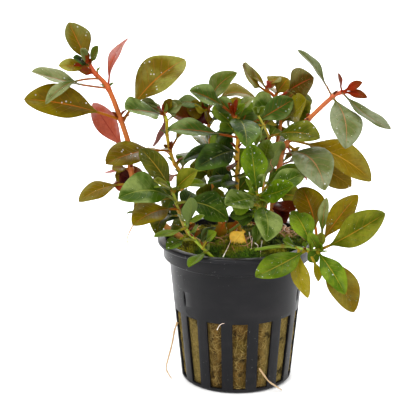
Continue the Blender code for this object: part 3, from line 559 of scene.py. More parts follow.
BROWN_ROOTS = [
    [(-2, -17, 53.1), (-1.4, -18.5, 52.2), (-0.7, -20, 51.2)],
    [(2.8, -12, 54.8), (3.1, -15, 53.2), (3.7, -18, 52)],
    [(-7.4, -5, 52.3), (-5, -6, 53), (-2.9, -6, 54.1), (-0.8, -6, 55.2)],
    [(11.4, 1, 74.2), (12.3, 0.5, 76.1), (11.5, 0.5, 77.9), (12.4, 1, 79.9)],
]
GREEN_STALKS = [
    [(-2.6, -8, 55.8), (-0.2, -9, 57.9), (2.5, -10, 60.6), (3.8, -12, 64.1)],
    [(-10.2, -20, 52.6), (-10, -19, 54.1), (-10.2, -18, 55.5)],
]
AERIAL_RADIUS = 0.3
ROOT_RADIUS = 0.42
FINE_ROOT_RADIUS = 0.14
STALK_RADIUS = 0.5

# Heaps of dry litter on the moss: middle (x, y), spread, number of stalks
LITTER_HEAPS = [(17, 3, 2.5, 34), (3, -8, 6, 14), (0, 8, 9, 16)]

# Loose dead leaves on the moss: foot (x, y, height), then a leaf's row without its place
DEAD_LEAVES = [
    ((2.3, -8.0, 55.9), (-149, -43, 6.5, 6.5, 58, 4, 8, 0, "amber")),
    ((-4.2, 1.0, 56.8), (-156, -64, 6, 4.5, 62, 8, 8, 0, "rust")),
    ((0.0, 1.0, 56.6), (-162, -45, 4.5, 4, 66, 8, 8, 0, "rust")),
]


def linear(colour):
    """An eye colour of 0 to 255 as linear light."""
    share = np.asarray(colour, float) / 255.0
    return tuple(np.where(share <= 0.04045, share / 12.92, ((share + 0.055) / 1.055) ** 2.4))


def smooth_step(low, high, value):
    """0 below low, 1 above high, and 3t² - 2t³ between them."""
    t = np.clip((value - low) / (high - low), 0.0, 1.0)
    return t * t * (3.0 - 2.0 * t)


def ruffle(points, length, seed, waves=9):
    """Uneven heights over points (..., 3), mostly between -1 and 1: a sum of sines along random
    directions, each about `length` from crest to crest, over 1.4·√waves."""
    rng = np.random.default_rng(seed)
    ways = unit(rng.normal(size=(waves, 3)))
    ways *= 2.0 * np.pi / length * rng.uniform(0.6, 1.6, (waves, 1))
    shifts = rng.uniform(0.0, 2.0 * np.pi, waves)
    return np.sin(points @ ways.T + shifts).sum(-1) / math.sqrt(waves) / 1.4


def unit(vectors):
    """Vectors of length one."""
    return vectors / np.maximum(np.linalg.norm(vectors, axis=-1, keepdims=True), 1e-12)


def compass_way(turn, rise):
    """Unit directions from compass turns and rises in degrees."""
    turn, rise = np.radians(turn), np.radians(rise)
    return np.stack([np.cos(rise) * np.cos(turn), np.cos(rise) * np.sin(turn), np.sin(rise)], -1)


def round_points(radius, turn, height):
    """Points (..., 3) from radii, turns in radians and heights about the pot's axis."""
    return np.stack(np.broadcast_arrays(radius * np.cos(turn), radius * np.sin(turn), height), -1)


def circle(side, front, sides):
    """Ways (..., sides, 3) round a ring: side·cos a + front·sin a."""
    angle = 2.0 * np.pi * np.arange(sides)[:, None] / sides
    return side[..., None, :] * np.cos(angle) + front[..., None, :] * np.sin(angle)


def along(route, places):
    """Points on a Catmull-Rom curve through a route's points, at an array of places."""
    route = np.asarray(route, float)
    points = np.vstack([2 * route[0] - route[1], route, 2 * route[-1] - route[-2]])
    places = np.atleast_1d(np.asarray(places, float))
    start = np.minimum(places.astype(int), len(route) - 2)
    t = (places - start)[:, None]
    before, here, there, after = (points[start + k] for k in range(4))
    return 0.5 * (2 * here + (there - before) * t
                  + (2 * before - 5 * here + 4 * there - after) * t ** 2
                  + (3 * here - before - 3 * there + after) * t ** 3)


def moss_lumps(x, y):
    """The moss's unevenness, between -1 and 1."""
    return (np.sin(0.9 * x + 1.0) * np.cos(0.8 * y) + 0.5 * np.sin(0.37 * x - 0.55 * y + 2.0)) / 1.5


def moss_top(x, y):
    """Height of the moss: a low cushion that falls to the pot's wall and to the left back."""
    share = np.hypot(x, y) / MOSS_RADIUS
    height = MOSS_MIDDLE + MOSS_TILT[0] * x + MOSS_TILT[1] * y - MOSS_FALL * share ** 6
    return np.maximum(height + MOSS_LUMP * moss_lumps(x, y), WOOL_TOP + 1.0)


def grid_faces(rows, columns):
    """Quads between the rows of a grid that is closed across its columns."""
    row, column = np.meshgrid(np.arange(rows - 1), np.arange(columns), indexing="ij")
    after = (column + 1) % columns
    faces = [row * columns + column, row * columns + after,
             (row + 1) * columns + after, (row + 1) * columns + column]
    return np.stack(faces, -1).reshape(-1, 4)


def skins(points):
    """Vertices and faces of many closed skins, from ring points (count, rings, sides, 3).

    Rings are joined by quads, and each end is closed by one flat face.
    """
    count, rings, sides, _ = points.shape
    start = (np.arange(count) * rings * sides)[:, None, None]
    walls = (start + grid_faces(rings, sides)[None]).reshape(-1, 4).tolist()
    feet = (start[:, :, 0] + np.arange(sides)[::-1]).tolist()
    tips = (start[:, :, 0] + (rings - 1) * sides + np.arange(sides)).tolist()
    return points.reshape(-1, 3), walls + feet + tips


def add_mesh(name, vertices, faces, materials, values=None, face_materials=None, turn_out=False):
    """A smooth mesh piece at the origin, from millimetre vertices, that rides with the pot.

    values are point attributes by name; face_materials is the material index of each face.
    """
    mesh = bpy.data.meshes.new(name)
    mesh.from_pydata((np.asarray(vertices) * MM).tolist(), [], faces)
    for material in materials:
        mesh.materials.append(material)
    for key, numbers in (values or {}).items():
        layer = mesh.attributes.new(key, "FLOAT", "POINT")
        layer.data.foreach_set("value", np.ascontiguousarray(numbers, np.float32).ravel())
    if face_materials is not None:
        mesh.polygons.foreach_set("material_index", np.asarray(face_materials, np.int32))
    if turn_out:
        bm = bmesh.new()
        bm.from_mesh(mesh)
        bmesh.ops.recalc_face_normals(bm, faces=bm.faces)
        bm.to_mesh(mesh)
        bm.free()
    mesh.shade_smooth()
    mesh.update()
    piece = bpy.data.objects.new(name, mesh)
    bpy.context.scene.collection.objects.link(piece)
    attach(piece, "root")
    return piece


def tubes(paths, radii, sides):
    """Ring points (count, rings, sides, 3) of tubes: path + radius·(side·cos a + front·sin a).

    paths is (count, rings, 3) and radii (count, rings); side is the way across each path that
    is level, or nearly so.
    """
    line = unit(np.gradient(paths, axis=1))
    side = unit(np.cross(line, DEPTH + 0.01 * UP))
    front = np.cross(line, side)
    return paths[:, :, None] + radii[:, :, None, None] * circle(side, front, sides)


# Material helpers


def put(tree, socket, value):
    """Sets a shader's input, or links it where the value is another node's output."""
    if isinstance(value, bpy.types.NodeSocket):
        tree.links.new(value, socket)
    elif socket.type == "RGBA":
        socket.default_value = (*value[:3], 1.0)
    else:
        socket.default_value = value


def new_node(tree, kind, inputs=None, **settings):
    """A shader node with its settings, and its inputs set or linked."""
    made = tree.nodes.new(kind)
    for name, value in settings.items():
        setattr(made, name, value)
    for name, value in (inputs or {}).items():
        put(tree, made.inputs[name], value)
    return made


def maths(tree, operation, first, second=0.0, third=0.0):
    """The result of a Math node."""
    made = new_node(tree, "ShaderNodeMath", {0: first, 1: second, 2: third}, operation=operation)
    return made.outputs[0]


def times(tree, first, second):
    """The product of two shader values."""
    return maths(tree, "MULTIPLY", first, second)


def plus(tree, first, second):
    """The sum of two shader values."""
    return maths(tree, "ADD", first, second)


def minus(tree, first, second):
    """The difference of two shader values."""
    return maths(tree, "SUBTRACT", first, second)


def ramp(tree, value, low, high, to_low=0.0, to_high=1.0):
    """A value smoothed from one range to another."""
    made = new_node(tree, "ShaderNodeMapRange",
                    {"Value": value, "From Min": low, "From Max": high,
                     "To Min": to_low, "To Max": to_high}, interpolation_type="SMOOTHSTEP")
    return made.outputs["Result"]


def blend_colour(tree, share, first, second):
    """Two colours mixed by a share."""
    made = new_node(tree, "ShaderNodeMix", data_type="RGBA")
    for index, value in ((0, share), (6, first), (7, second)):
        put(tree, made.inputs[index], value)
    return made.outputs[2]


def attribute(tree, name):
    """A point attribute's number."""
    return new_node(tree, "ShaderNodeAttribute", attribute_name=name).outputs["Fac"]


def object_place(tree):
    """The place in the object's own space."""
    return new_node(tree, "ShaderNodeTexCoord").outputs["Object"]


def grain(tree, scale, detail=2.0, roughness=0.5, stretch=(1.0, 1.0, 1.0)):
    """Noise over the object's own space; scale is in crests to a metre."""
    turned = new_node(tree, "ShaderNodeMapping", {"Vector": object_place(tree), "Scale": stretch})
    made = new_node(tree, "ShaderNodeTexNoise",
                    {"Vector": turned.outputs[0], "Scale": scale, "Detail": detail,
                     "Roughness": roughness})
    return made.outputs["Fac"]


def specks(tree, scale, size):
    """1 inside small round spots, one to each cell of a given scale, and 0 outside them."""
    made = new_node(tree, "ShaderNodeTexVoronoi", {"Vector": object_place(tree), "Scale": scale})
    return ramp(tree, made.outputs["Distance"], size, 0.6 * size)


def new_material(name):
    """A material with one Principled shader: returns it, its tree and the shader."""
    material = bpy.data.materials.new(name)
    material.use_nodes = True
    return material, material.node_tree, material.node_tree.nodes["Principled BSDF"]


def set_surface(tree, shader, colour, roughness, specular=0.5):
    """A shader's colour, its roughness, and how strongly it shines."""
    put(tree, shader.inputs["Base Color"], colour)
    put(tree, shader.inputs["Roughness"], roughness)
    shader.inputs["Specular IOR Level"].default_value = specular


def set_bump(tree, shader, height, strength, depth):
    """Bump of a given depth in metres."""
    bump = new_node(tree, "ShaderNodeBump",
                    {"Height": height, "Strength": strength, "Distance": depth})
    put(tree, shader.inputs["Normal"], bump.outputs[0])


# Materials


def leaf_ribs(tree, across, share):
    """A leaf's side veins, its midrib, and its midrib with the petiole: 1 on them, 0 off them.

    Side veins are where SIDE_VEINS·along - VEIN_SLANT·across, with a slight wiggle, is whole.
    """
    slant = minus(tree, times(tree, share, SIDE_VEINS), times(tree, across, VEIN_SLANT))
    wiggle = times(tree, grain(tree, 300.0), 0.5)
    fold = maths(tree, "PINGPONG", plus(tree, slant, wiggle), 0.5)
    vein = times(tree, ramp(tree, fold, 0.10, 0.02), ramp(tree, across, 0.95, 0.5))
    vein = times(tree, vein, ramp(tree, share, 0.02, 0.12))
    thin = minus(tree, 0.06, times(tree, share, 0.045))
    midrib = ramp(tree, maths(tree, "DIVIDE", across, thin), 1.15, 0.55)
    ribbed = maths(tree, "MAXIMUM", midrib, ramp(tree, share, 0.06, 0.0))
    return vein, midrib, ribbed


def leaf_face(tree, across, share, upper, blush_and_sheen):
    """Colour of a leaf's upper face: blushed in clouds, more to the margin and tip, and mottled. The
    blush is partly the leaf's own colour and partly painted sheen; its growth toward the tip is
    painted reflection.
    """
    cloud = plus(tree, grain(tree, 140.0), times(tree, across, 0.2))
    # Painted reflection: more of the blush, as painted sheen, toward the tip
    painted_tip_sheen = maths(tree, "MULTIPLY_ADD", share, 0.24, -0.12)
    blush_and_sheen_share = ramp(tree, plus(tree, cloud, painted_tip_sheen), 0.5, 0.78)
    mottle = ramp(tree, grain(tree, 900.0, 3.0, 0.65), 0.35, 0.75, 0.0, 0.35)
    face = blend_colour(tree, blush_and_sheen_share, upper, blush_and_sheen)
    return blend_colour(tree, mottle, face, [0.45 * c for c in upper])


@functools.cache
def leaf_material(name):
    """A waxy leaf: upper face blushed, partly in its own colour and partly in painted sheen, midrib
    and side veins, pale spots, dull under face.
    """
    upper, blush_and_sheen, rib, under = (linear(colour) for colour in LEAF_COLOURS[name])
    material, tree, shader = new_material(f"leaf_{name}")
    across = maths(tree, "ABSOLUTE", attribute(tree, "across"))
    share = attribute(tree, "along")
    vein, midrib, ribbed = leaf_ribs(tree, across, share)
    face = leaf_face(tree, across, share, upper, blush_and_sheen)
    face = blend_colour(tree, times(tree, vein, 0.16), face, rib)
    face = blend_colour(tree, times(tree, ribbed, 0.7), face, rib)
    back = blend_colour(tree, times(tree, vein, 0.25), under, rib)
    back = blend_colour(tree, times(tree, ribbed, 0.9), back, rib)
    colour = blend_colour(tree, attribute(tree, "under"), face, back)
    spot = times(tree, specks(tree, 480.0, 0.17), ramp(tree, grain(tree, 60.0), 0.5, 0.6))
    pale = [0.5 + 0.5 * c for c in upper]
    colour = blend_colour(tree, times(tree, spot, 0.55), colour, pale)
    value = maths(tree, "MULTIPLY_ADD", attribute(tree, "tone"), 0.16, 1.0)
    toned = new_node(tree, "ShaderNodeHueSaturation", {"Color": colour, "Value": value})
    roughness = ramp(tree, grain(tree, 500.0), 0.3, 0.7, 0.3, 0.46)
    set_surface(tree, shader, toned.outputs[0], roughness, 0.05)
    raised = plus(tree, times(tree, vein, 0.9), midrib)
    relief = minus(tree, times(tree, grain(tree, 700.0), 0.5), raised)
    set_bump(tree, shader, relief, 0.6, 0.00014)
    return material


def stem_material(name):
    """A juicy stem, coloured from root to tip, redder at its nodes, with faint lengthwise lines."""
    low, middle, high = (linear(colour) for colour in STEM_COLOURS[name])
    material, tree, shader = new_material(f"stem_{name}")
    share = attribute(tree, "along")
    colour = blend_colour(tree, ramp(tree, share, 0.0, 0.55), low, middle)
    colour = blend_colour(tree, ramp(tree, share, 0.5, 1.0), colour, high)
    streak = grain(tree, 700.0, 3.0, 0.6, (1.0, 1.0, 0.12))
    dark = [0.55 * c for c in middle]
    colour = blend_colour(tree, ramp(tree, streak, 0.4, 0.75, 0.0, 0.5), colour, dark)
    knot = times(tree, attribute(tree, "knot"), 0.45)
    colour = blend_colour(tree, knot, colour, linear((150, 52, 28)))
    set_surface(tree, shader, colour, 0.38, 0.15)
    set_bump(tree, shader, streak, 0.35, 0.0001)
    return material


def pot_material():
    """Satin black moulded plastic with a fine grain, dust specks and faint scuffs."""
    material, tree, shader = new_material("black_plastic")
    scuff = ramp(tree, grain(tree, 45.0, 5.0, 0.6, (1.0, 1.0, 2.5)), 0.45, 0.8)
    dusty = ramp(tree, grain(tree, 38.0), 0.46, 0.56)
    dust = times(tree, specks(tree, 800.0, 0.09), dusty)
    colour = blend_colour(tree, scuff, (0.006, 0.006, 0.007), (0.014, 0.013, 0.014))
    colour = blend_colour(tree, times(tree, dust, 0.6), colour, (0.55, 0.54, 0.5))
    set_surface(tree, shader, colour, ramp(tree, scuff, 0.0, 1.0, 0.36, 0.5), 0.14)
    set_bump(tree, shader, grain(tree, 2600.0), 0.12, 0.00005)
    return material


@functools.cache
def wool_material():
    """Damp rock wool: matted olive and straw, paler to the pot's sides, with painted shade in its
    hollows.
    """
    material, tree, shader = new_material("rock_wool_fibre")
    mat = grain(tree, 500.0, 5.0, 0.7, (1.0, 1.0, 0.6))
    colour = blend_colour(tree, ramp(tree, mat, 0.3, 0.62), linear((36, 25, 9)), linear((100, 76, 34)))
    olive = ramp(tree, grain(tree, 90.0, 3.0), 0.45, 0.75, 0.0, 0.6)
    colour = blend_colour(tree, olive, colour, linear((80, 70, 24)))
    light = ramp(tree, attribute(tree, "tone"), -1.0, 1.0, 0.0, 0.75)
    colour = blend_colour(tree, light, colour, linear((170, 146, 88)))
    sideways = new_node(tree, "ShaderNodeSeparateXYZ", {"Vector": object_place(tree)}).outputs["X"]
    aside = maths(tree, "ABSOLUTE", plus(tree, sideways, 0.001))
    outer = ramp(tree, aside, 0.007, 0.013, 0.0, 0.6)
    colour = blend_colour(tree, outer, colour, linear((132, 116, 64)))
    # Painted shade: near black where the wool's hollows lie in shadow
    painted_hollow_shade = ramp(tree, grain(tree, 210.0, 3.0, 0.6), 0.46, 0.32)
    colour = blend_colour(tree, times(tree, painted_hollow_shade, 0.85), colour, linear((16, 11, 4)))
    set_surface(tree, shader, colour, 0.85, 0.1)
    set_bump(tree, shader, mat, 0.8, 0.0004)
    return material


@functools.cache
def moss_material():
    """Wet moss: painted shade, near black, in its hollows; dark green in some patches, yellow-green in
    others.
    """
    material, tree, shader = new_material("wet_moss")
    patch = ramp(tree, grain(tree, 75.0), 0.42, 0.62)
    colour = blend_colour(tree, patch, linear((38, 56, 8)), linear((118, 116, 12)))
    bright = blend_colour(tree, patch, linear((78, 112, 14)), linear((180, 174, 44)))
    tip = ramp(tree, attribute(tree, "tone"), -0.1, 1.0, 0.0, 0.9)
    colour = blend_colour(tree, tip, colour, bright)
    # Painted shade: near black in the moss's hollows
    painted_hollow_shade = ramp(tree, grain(tree, 140.0, 3.0, 0.6), 0.5, 0.36)
    colour = blend_colour(tree, times(tree, painted_hollow_shade, 0.75), colour, linear((16, 12, 6)))
    set_surface(tree, shader, colour, 0.6, 0.1)
    set_bump(tree, shader, grain(tree, 900.0, 4.0), 0.7, 0.0004)
    return material


def root_material(name):
    """A fine root, from one colour to another along it."""
    low, high = (linear(colour) for colour in ROOT_COLOURS[name])
    material, tree, shader = new_material(name)
    share = plus(tree, attribute(tree, "along"), times(tree, grain(tree, 300.0), 0.4))
    set_surface(tree, shader, blend_colour(tree, ramp(tree, share, 0.2, 1.2), low, high), 0.45)
    set_bump(tree, shader, grain(tree, 1500.0), 0.3, 0.00005)
    return material


def water_material():
    """Clear water drops with a green cast from the leaves."""
    material, tree, shader = new_material("water_drop")
    set_surface(tree, shader, (0.5, 0.6, 0.22), 0.12, 0.16)
    shader.inputs["IOR"].default_value = 1.33
    shader.inputs["Transmission Weight"].default_value = 0.85
    return material


# Leaves


def leaf_ways(numbers, route, radius):
    """Feet of leaves and their unit directions: aim to the tip, side across the leaf, and face.

    A foot lies a share of the stem's radius off the stem's middle line. side is level across the
    aim, then rolled round it.
    """
    node = along(route, numbers[:, 0])[:, None, None]
    aim = compass_way(numbers[:, 1], numbers[:, 2])[:, None, None]
    level = unit(np.cross(aim, UP))
    over = np.cross(level, aim)
    roll = np.radians(numbers[:, 5])[:, None, None, None]
    side = level * np.cos(roll) + over * np.sin(roll)
    return node + LEAF_START * radius * aim, aim, side, np.cross(side, aim)


def leaf_half(width, t, blade):
    """Half a leaf's width: width/2·sin(πb^1.2)^(1.15-0.5b) over the blade share b, or the
    petiole's where that is more, which narrows from its foot and ends before the tip."""
    bulk = np.sin(np.pi * blade ** BLADE_SKEW) ** (1.15 - 0.5 * blade)
    stalk = PETIOLE_HALF * (1.0 - 0.35 * t + 0.5 * np.exp(-t / 0.03))
    stalk = np.minimum(stalk, 0.16 * width) * smooth_step(1.0, 0.9, t)
    return np.maximum(np.maximum(width / 2 * bulk, stalk), 0.03)


def leaf_height(s, under, blade, half, vary):
    """Height of a leaf's skin over its plane: half·(V fold + camber of each half + waves at the
    margins), plus or minus the thickness, which is round across the leaf and more at the
    petiole, and under the midrib."""
    leafy = smooth_step(0.0, 0.12, blade)
    fold = BLADE_FOLD * (1.0 + 0.4 * vary[:, 0]) * (np.sqrt(s * s + 0.012) - 0.11)
    camber = BLADE_CAMBER * np.sin(np.pi * np.abs(s))
    phase = np.where(s < 0, vary[:, 1], vary[:, 2]) * np.pi
    waves = MARGIN_HEIGHT * s * s * np.sin(2.0 * np.pi * MARGIN_WAVES * blade + phase)
    height = half * leafy * (fold + camber + waves)
    dome = np.sqrt(np.maximum(1.0 - s * s, 0.0))
    thick = (1.0 - leafy) * np.minimum(PETIOLE_THICKNESS, half)
    thick = thick + leafy * np.minimum(BLADE_THICKNESS, half)
    rib = MIDRIB_HEIGHT * leafy * (1.0 - 0.85 * blade) * np.exp(-(s * half / MIDRIB_SPREAD) ** 2)
    rib = np.minimum(rib, half)
    return height + dome * np.where(under > 0, -thick - rib, thick)


def leaf_points(rows, route, radius, rings, halves, rng):
    """Ring points (count, rings, sides, 3) of leaves and their attributes.

    With t from foot to tip and s from one margin to the other, a point is
    foot + aim·reach·t + side·(half(t)·s + bend·reach·4t(1-t))
    + face·(height(s, t) + arch·reach·4t(1-t) - curl·reach·b³), where b is the blade's share.
    Each leaf draws six numbers: its fold, the waves of its two margins, its curl, its bend and
    its tone.
    """
    numbers = np.array([row[:9] for row in rows], float)
    foot, aim, side, face = leaf_ways(numbers, route, radius)
    reach, width, petiole, arch, bend = numbers.T[[3, 4, 6, 7, 8], :, None, None]
    reach = reach - LEAF_START * radius
    petiole, arch, bend = petiole / 100.0, arch / 100.0, bend / 100.0
    t = (np.linspace(0.0, 1.0, rings) ** 0.92)[None, :, None]
    top = np.cos(np.linspace(np.pi, 0.0, halves))
    s = np.concatenate([top, top[::-1][1:-1]])[None, None]
    under = np.concatenate([np.zeros(halves), np.ones(halves - 2)])[None, None]
    blade = np.clip((t - petiole) / (1.0 - petiole), 0.0, 1.0)
    half = leaf_half(width, t, blade)
    vary = rng.uniform(-1.0, 1.0, (len(rows), 6))[:, :, None, None]
    curl = -reach * TIP_CURL * (1.0 + vary[:, 3]) * blade ** 3
    sway = reach * (bend + 0.02 * vary[:, 4]) * 4.0 * t * (1.0 - t)
    height = leaf_height(s, under, blade, half, vary) + curl
    height = height + arch * reach * 4.0 * t * (1.0 - t)
    height = np.broadcast_to(height, (len(rows), rings, s.shape[-1]))
    points = (foot + aim * (reach * t)[..., None] + side * (half * s + sway)[..., None]
              + face * height[..., None])
    values = {"across": s, "along": blade, "under": under, "tone": vary[:, 5]}
    values = {key: np.broadcast_to(numbers, height.shape) for key, numbers in values.items()}
    return points, values


def add_leaves(name, rows, route, radius, grid, rng):
    """One piece of all the leaves in some rows, each with the material of its finish.

    Returns the piece and its ring points.
    """
    rings, halves = grid
    points, values = leaf_points(rows, route, radius, rings, halves, rng)
    vertices, faces = skins(points)
    names = sorted({row[9] for row in rows})
    index = np.array([names.index(row[9]) for row in rows])
    walls = (rings - 1) * points.shape[2]
    face_materials = np.concatenate([np.repeat(index, walls), index, index])
    materials = [leaf_material(each) for each in names]
    return add_mesh(name, vertices, faces, materials, values, face_materials), points


def stem_route(points):
    """A shoot's route in millimetres; its root end is sunk a little into the moss."""
    x, y = points[0]
    return np.array([(x, y, float(moss_top(x, y)) - 0.3)] + list(points[1:]), float)


def add_stem(name, shoot, route):
    """A stem: a tube along its route, radius·(1 - taper·share)·(1 + swelling at each node)."""
    last = len(route) - 1
    places = np.linspace(0.0, last, STEM_STEPS * last + 1)
    path = along(route, places)
    knot = np.exp(-((places - np.round(places)) / 0.07) ** 2) * (places > 0.5)
    size = STEM_PLUMP * shoot["radius"] * (1.0 - STEM_TAPER * places / last)
    size = size * (1.0 + NODE_SWELLING * knot)
    points = tubes(path[None], size[None], STEM_SIDES)
    rough = 0.03 * ruffle(points, 1.2, SEEDS["stem"])
    points += rough[..., None] * unit(points - path[None, :, None])
    vertices, faces = skins(points)
    values = {"along": places / last, "knot": knot}
    values = {key: np.repeat(numbers, STEM_SIDES) for key, numbers in values.items()}
    stem = add_mesh(f"shoot_{name}", vertices, faces, [stem_material(name)], values)
    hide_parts(f"stem_{name}")


def axil_rows(route, rng):
    """Tiny leaf pairs in the axils of a shoot's nodes."""
    rows = []
    for place in range(1, len(route) - 1):
        turn = rng.uniform(0, 180)
        for way in (0, 180):
            rows.append((place + 0.03, turn + way + rng.uniform(-20, 20), rng.uniform(20, 60),
                         rng.uniform(2.2, 4.2), rng.uniform(1.2, 2.0), rng.uniform(-30, 30), 10, 4, 0,
                         "green" if rng.uniform() < 0.6 else "brown_red"))
    return rows


def add_shoot(name, shoot, rng):
    """A shoot's stem, its large leaves and its young leaves; returns the large leaves' points."""
    route = stem_route(shoot["route"])
    add_stem(name, shoot, route)
    radius = shoot["radius"]
    grids = []
    for number, row in enumerate(shoot["leaves"], 1):
        node = f"leaf_{name}_{number}"
        leaf, points = add_leaves(f"blade_{name}_{number}", [row], route, radius, LARGE_GRID, rng)
        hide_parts(node)
        grids.append(points[0])
    rows = shoot["young"] + axil_rows(route, rng)
    young, _ = add_leaves(f"young_{name}", rows, route, radius, YOUNG_GRID, rng)
    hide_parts(f"stem_{name}")
    return grids


# Roots and dead leaves


def add_root(name, route, radius, material):
    """A root: a thin tube along a smooth curve, radius·(1 - 0.5·share), slightly uneven."""
    rings, sides = 28, 7
    path = along(route, np.linspace(0, len(route) - 1, rings))[None]
    share = np.linspace(0.0, 1.0, rings)
    size = radius * (1.0 - 0.5 * share) * (1.0 + 0.2 * ruffle(path, 2.5, SEEDS["root"]))
    vertices, faces = skins(tubes(path, size, sides))
    root = add_mesh(name, vertices, faces, [material], {"along": np.repeat(share, sides)})
    return root


def add_all_roots():
    """The aerial, side and front roots, fine pale and brown ones, and bare green stalks."""
    pale = root_material("pale_root")
    add_root("aerial_root", AERIAL_ROOT, AERIAL_RADIUS, root_material("aerial_root"))
    side = add_root("side_root_visible", SIDE_ROOT, ROOT_RADIUS, pale)
    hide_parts("side_root")
    add_root("front_root", FRONT_ROOT, ROOT_RADIUS, pale)
    for name, routes, radius, finish in (
            ("surface_roots", SURFACE_ROOTS, FINE_ROOT_RADIUS, "white_root"),
            ("brown_roots", BROWN_ROOTS, FINE_ROOT_RADIUS, "brown_root"),
            ("green_stalks", GREEN_STALKS, STALK_RADIUS, "green_stalk")):
        material = root_material(finish)
        for number, route in enumerate(routes, 1):
            add_root(f"{name}_{number}", route, radius, material)


def add_dead_leaves(rng):
    """Dead leaves that lie tilted on the moss."""
    for number, (foot, row) in enumerate(DEAD_LEAVES, 1):
        route = np.array([foot, (foot[0], foot[1], foot[2] + 1.0)], float)
        leaf, _ = add_leaves(f"dead_leaf_{number}", [(0.0, *row)], route, 0.1, DEAD_GRID, rng)
        if number == 1:
            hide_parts("dead_leaf")


# Water drops


def add_droplets(leaf_grids, rng):
    """Water drops on the upper faces of the large leaves.

    A drop is a dome over a point of the leaf's own grid, square to the leaf there. At a share h
    of the way up, its radius is r·cos(h·90°) and its rise DROP_RISE·r·sin(h·90°). r is
    DROP_RADIUS + DROP_GROWTH·u⁴, with u random from 0 to 1, so that most drops are small.
    """
    rings, sides = 5, 9
    centres, normals = [], []
    for grid in leaf_grids:
        count = rng.integers(*DROPS_PER_LEAF)
        row = rng.integers(12, 36, count)
        column = rng.integers(3, LARGE_GRID[1] - 4, count)
        here = grid[row, column]
        centres.append(here)
        normals.append(unit(np.cross(grid[row, column + 1] - here, grid[row + 1, column] - here)))
    centre, normal = np.concatenate(centres), np.concatenate(normals)
    size = DROP_RADIUS + DROP_GROWTH * rng.uniform(size=len(centre)) ** 4
    size = size[:, None, None, None]
    side = unit(np.cross(normal, DEPTH + 0.02 * UP))
    around = circle(side, np.cross(normal, side), sides)[:, None]
    lift = (np.linspace(-0.25, 1.0, rings) * np.pi / 2)[None, :, None, None]
    flat = size * np.maximum(np.cos(lift), 0.03)
    rise = size * DROP_RISE * np.sin(lift)
    points = centre[:, None, None] + flat * around + rise * normal[:, None, None]
    vertices, faces = skins(points)
    drops = add_mesh("water_drops", vertices, faces, [water_material()], turn_out=True)


# Pot


def wall_radius(height):
    """Radius of the tapered wall's outer face."""
    share = (height - FOOT_ROUND) / (COLLAR_BOTTOM - FOOT_ROUND)
    return FOOT_RADIUS + share * (WALL_TOP_RADIUS - FOOT_RADIUS)


def arc(middle, radius, start, end, steps):
    """Points of a round corner in the (radius, height) plane."""
    angle = np.radians(np.linspace(start, end, steps))
    return np.stack([middle[0] + radius * np.cos(angle), middle[1] + radius * np.sin(angle)], -1)


def collar_profile():
    """The collar and the rolled lip as (radius, height) points, outside up and inside down."""
    lip_foot = POT_HEIGHT - LIP_DEPTH
    inner = COLLAR_RADIUS - WALL
    return np.concatenate([
        [(WALL_TOP_RADIUS - 0.05, COLLAR_BOTTOM - 0.4)],
        arc((WALL_TOP_RADIUS + 0.3, COLLAR_BOTTOM + 0.1), 0.3, 180, 90, 3) - (0.0, 0.3),
        arc((COLLAR_RADIUS - 0.5, COLLAR_BOTTOM + 0.6), 0.5, -80, 0, 4),
        [(COLLAR_RADIUS + 0.05, lip_foot - 0.5)],
        arc((COLLAR_RADIUS + 0.5, lip_foot - 0.45), 0.45, 180, 90, 3),
        arc((LIP_RADIUS - 0.5, lip_foot + 0.5), 0.5, -90, 0, 4),
        arc((LIP_RADIUS - 0.6, POT_HEIGHT - 0.6), 0.6, 0, 90, 5),
        arc((inner + 0.6, POT_HEIGHT - 0.6), 0.6, 90, 180, 5),
        [(inner, COLLAR_BOTTOM + 1.6)],
        [(inner - 0.4, COLLAR_BOTTOM + 1.0)],
        [(WALL_TOP_RADIUS - WALL + 0.1, COLLAR_BOTTOM + 0.4)],
    ])


def pot_profile():
    """The pot's section as (radius, height) points, outside up and inside down.

    Returns the points, and for the slots and for the slits their first row outside, the row
    that matches it inside, and how many cells high they are.
    """
    slot_rows = np.linspace(SLOT_BOTTOM, SLOT_TOP, 9)
    slit_rows = np.linspace(SLIT_BOTTOM, SLIT_TOP, 11)
    # The single heights keep the plain wall's cells short between the openings and the collar
    heights = np.concatenate([slot_rows, [28.0], slit_rows, [38.5, 41.5]])
    outer = np.stack([wall_radius(heights), heights], -1)
    inner = np.stack([wall_radius(heights) - WALL, heights], -1)[::-1]
    inner[:, 0] = np.maximum(inner[:, 0], FOOT_RADIUS - WALL)
    foot = arc((FOOT_RADIUS - FOOT_ROUND, FOOT_ROUND), FOOT_ROUND, -90, -5, 6)
    start = [(0.02, 0.0), (0.5 * FOOT_RADIUS, 0.0)]
    end = [(FOOT_RADIUS - WALL - 0.3, FLOOR), (0.5 * FOOT_RADIUS, FLOOR), (0.02, FLOOR)]
    profile = np.concatenate([start, foot, outer, collar_profile(), inner, end])
    first = len(start) + len(foot)
    last = len(profile) - len(end) - 1
    step = len(slot_rows) + 1
    slots = (first, last, len(slot_rows) - 1)
    slits = (first + step, last - step, len(slit_rows) - 1)
    return profile, slots, slits


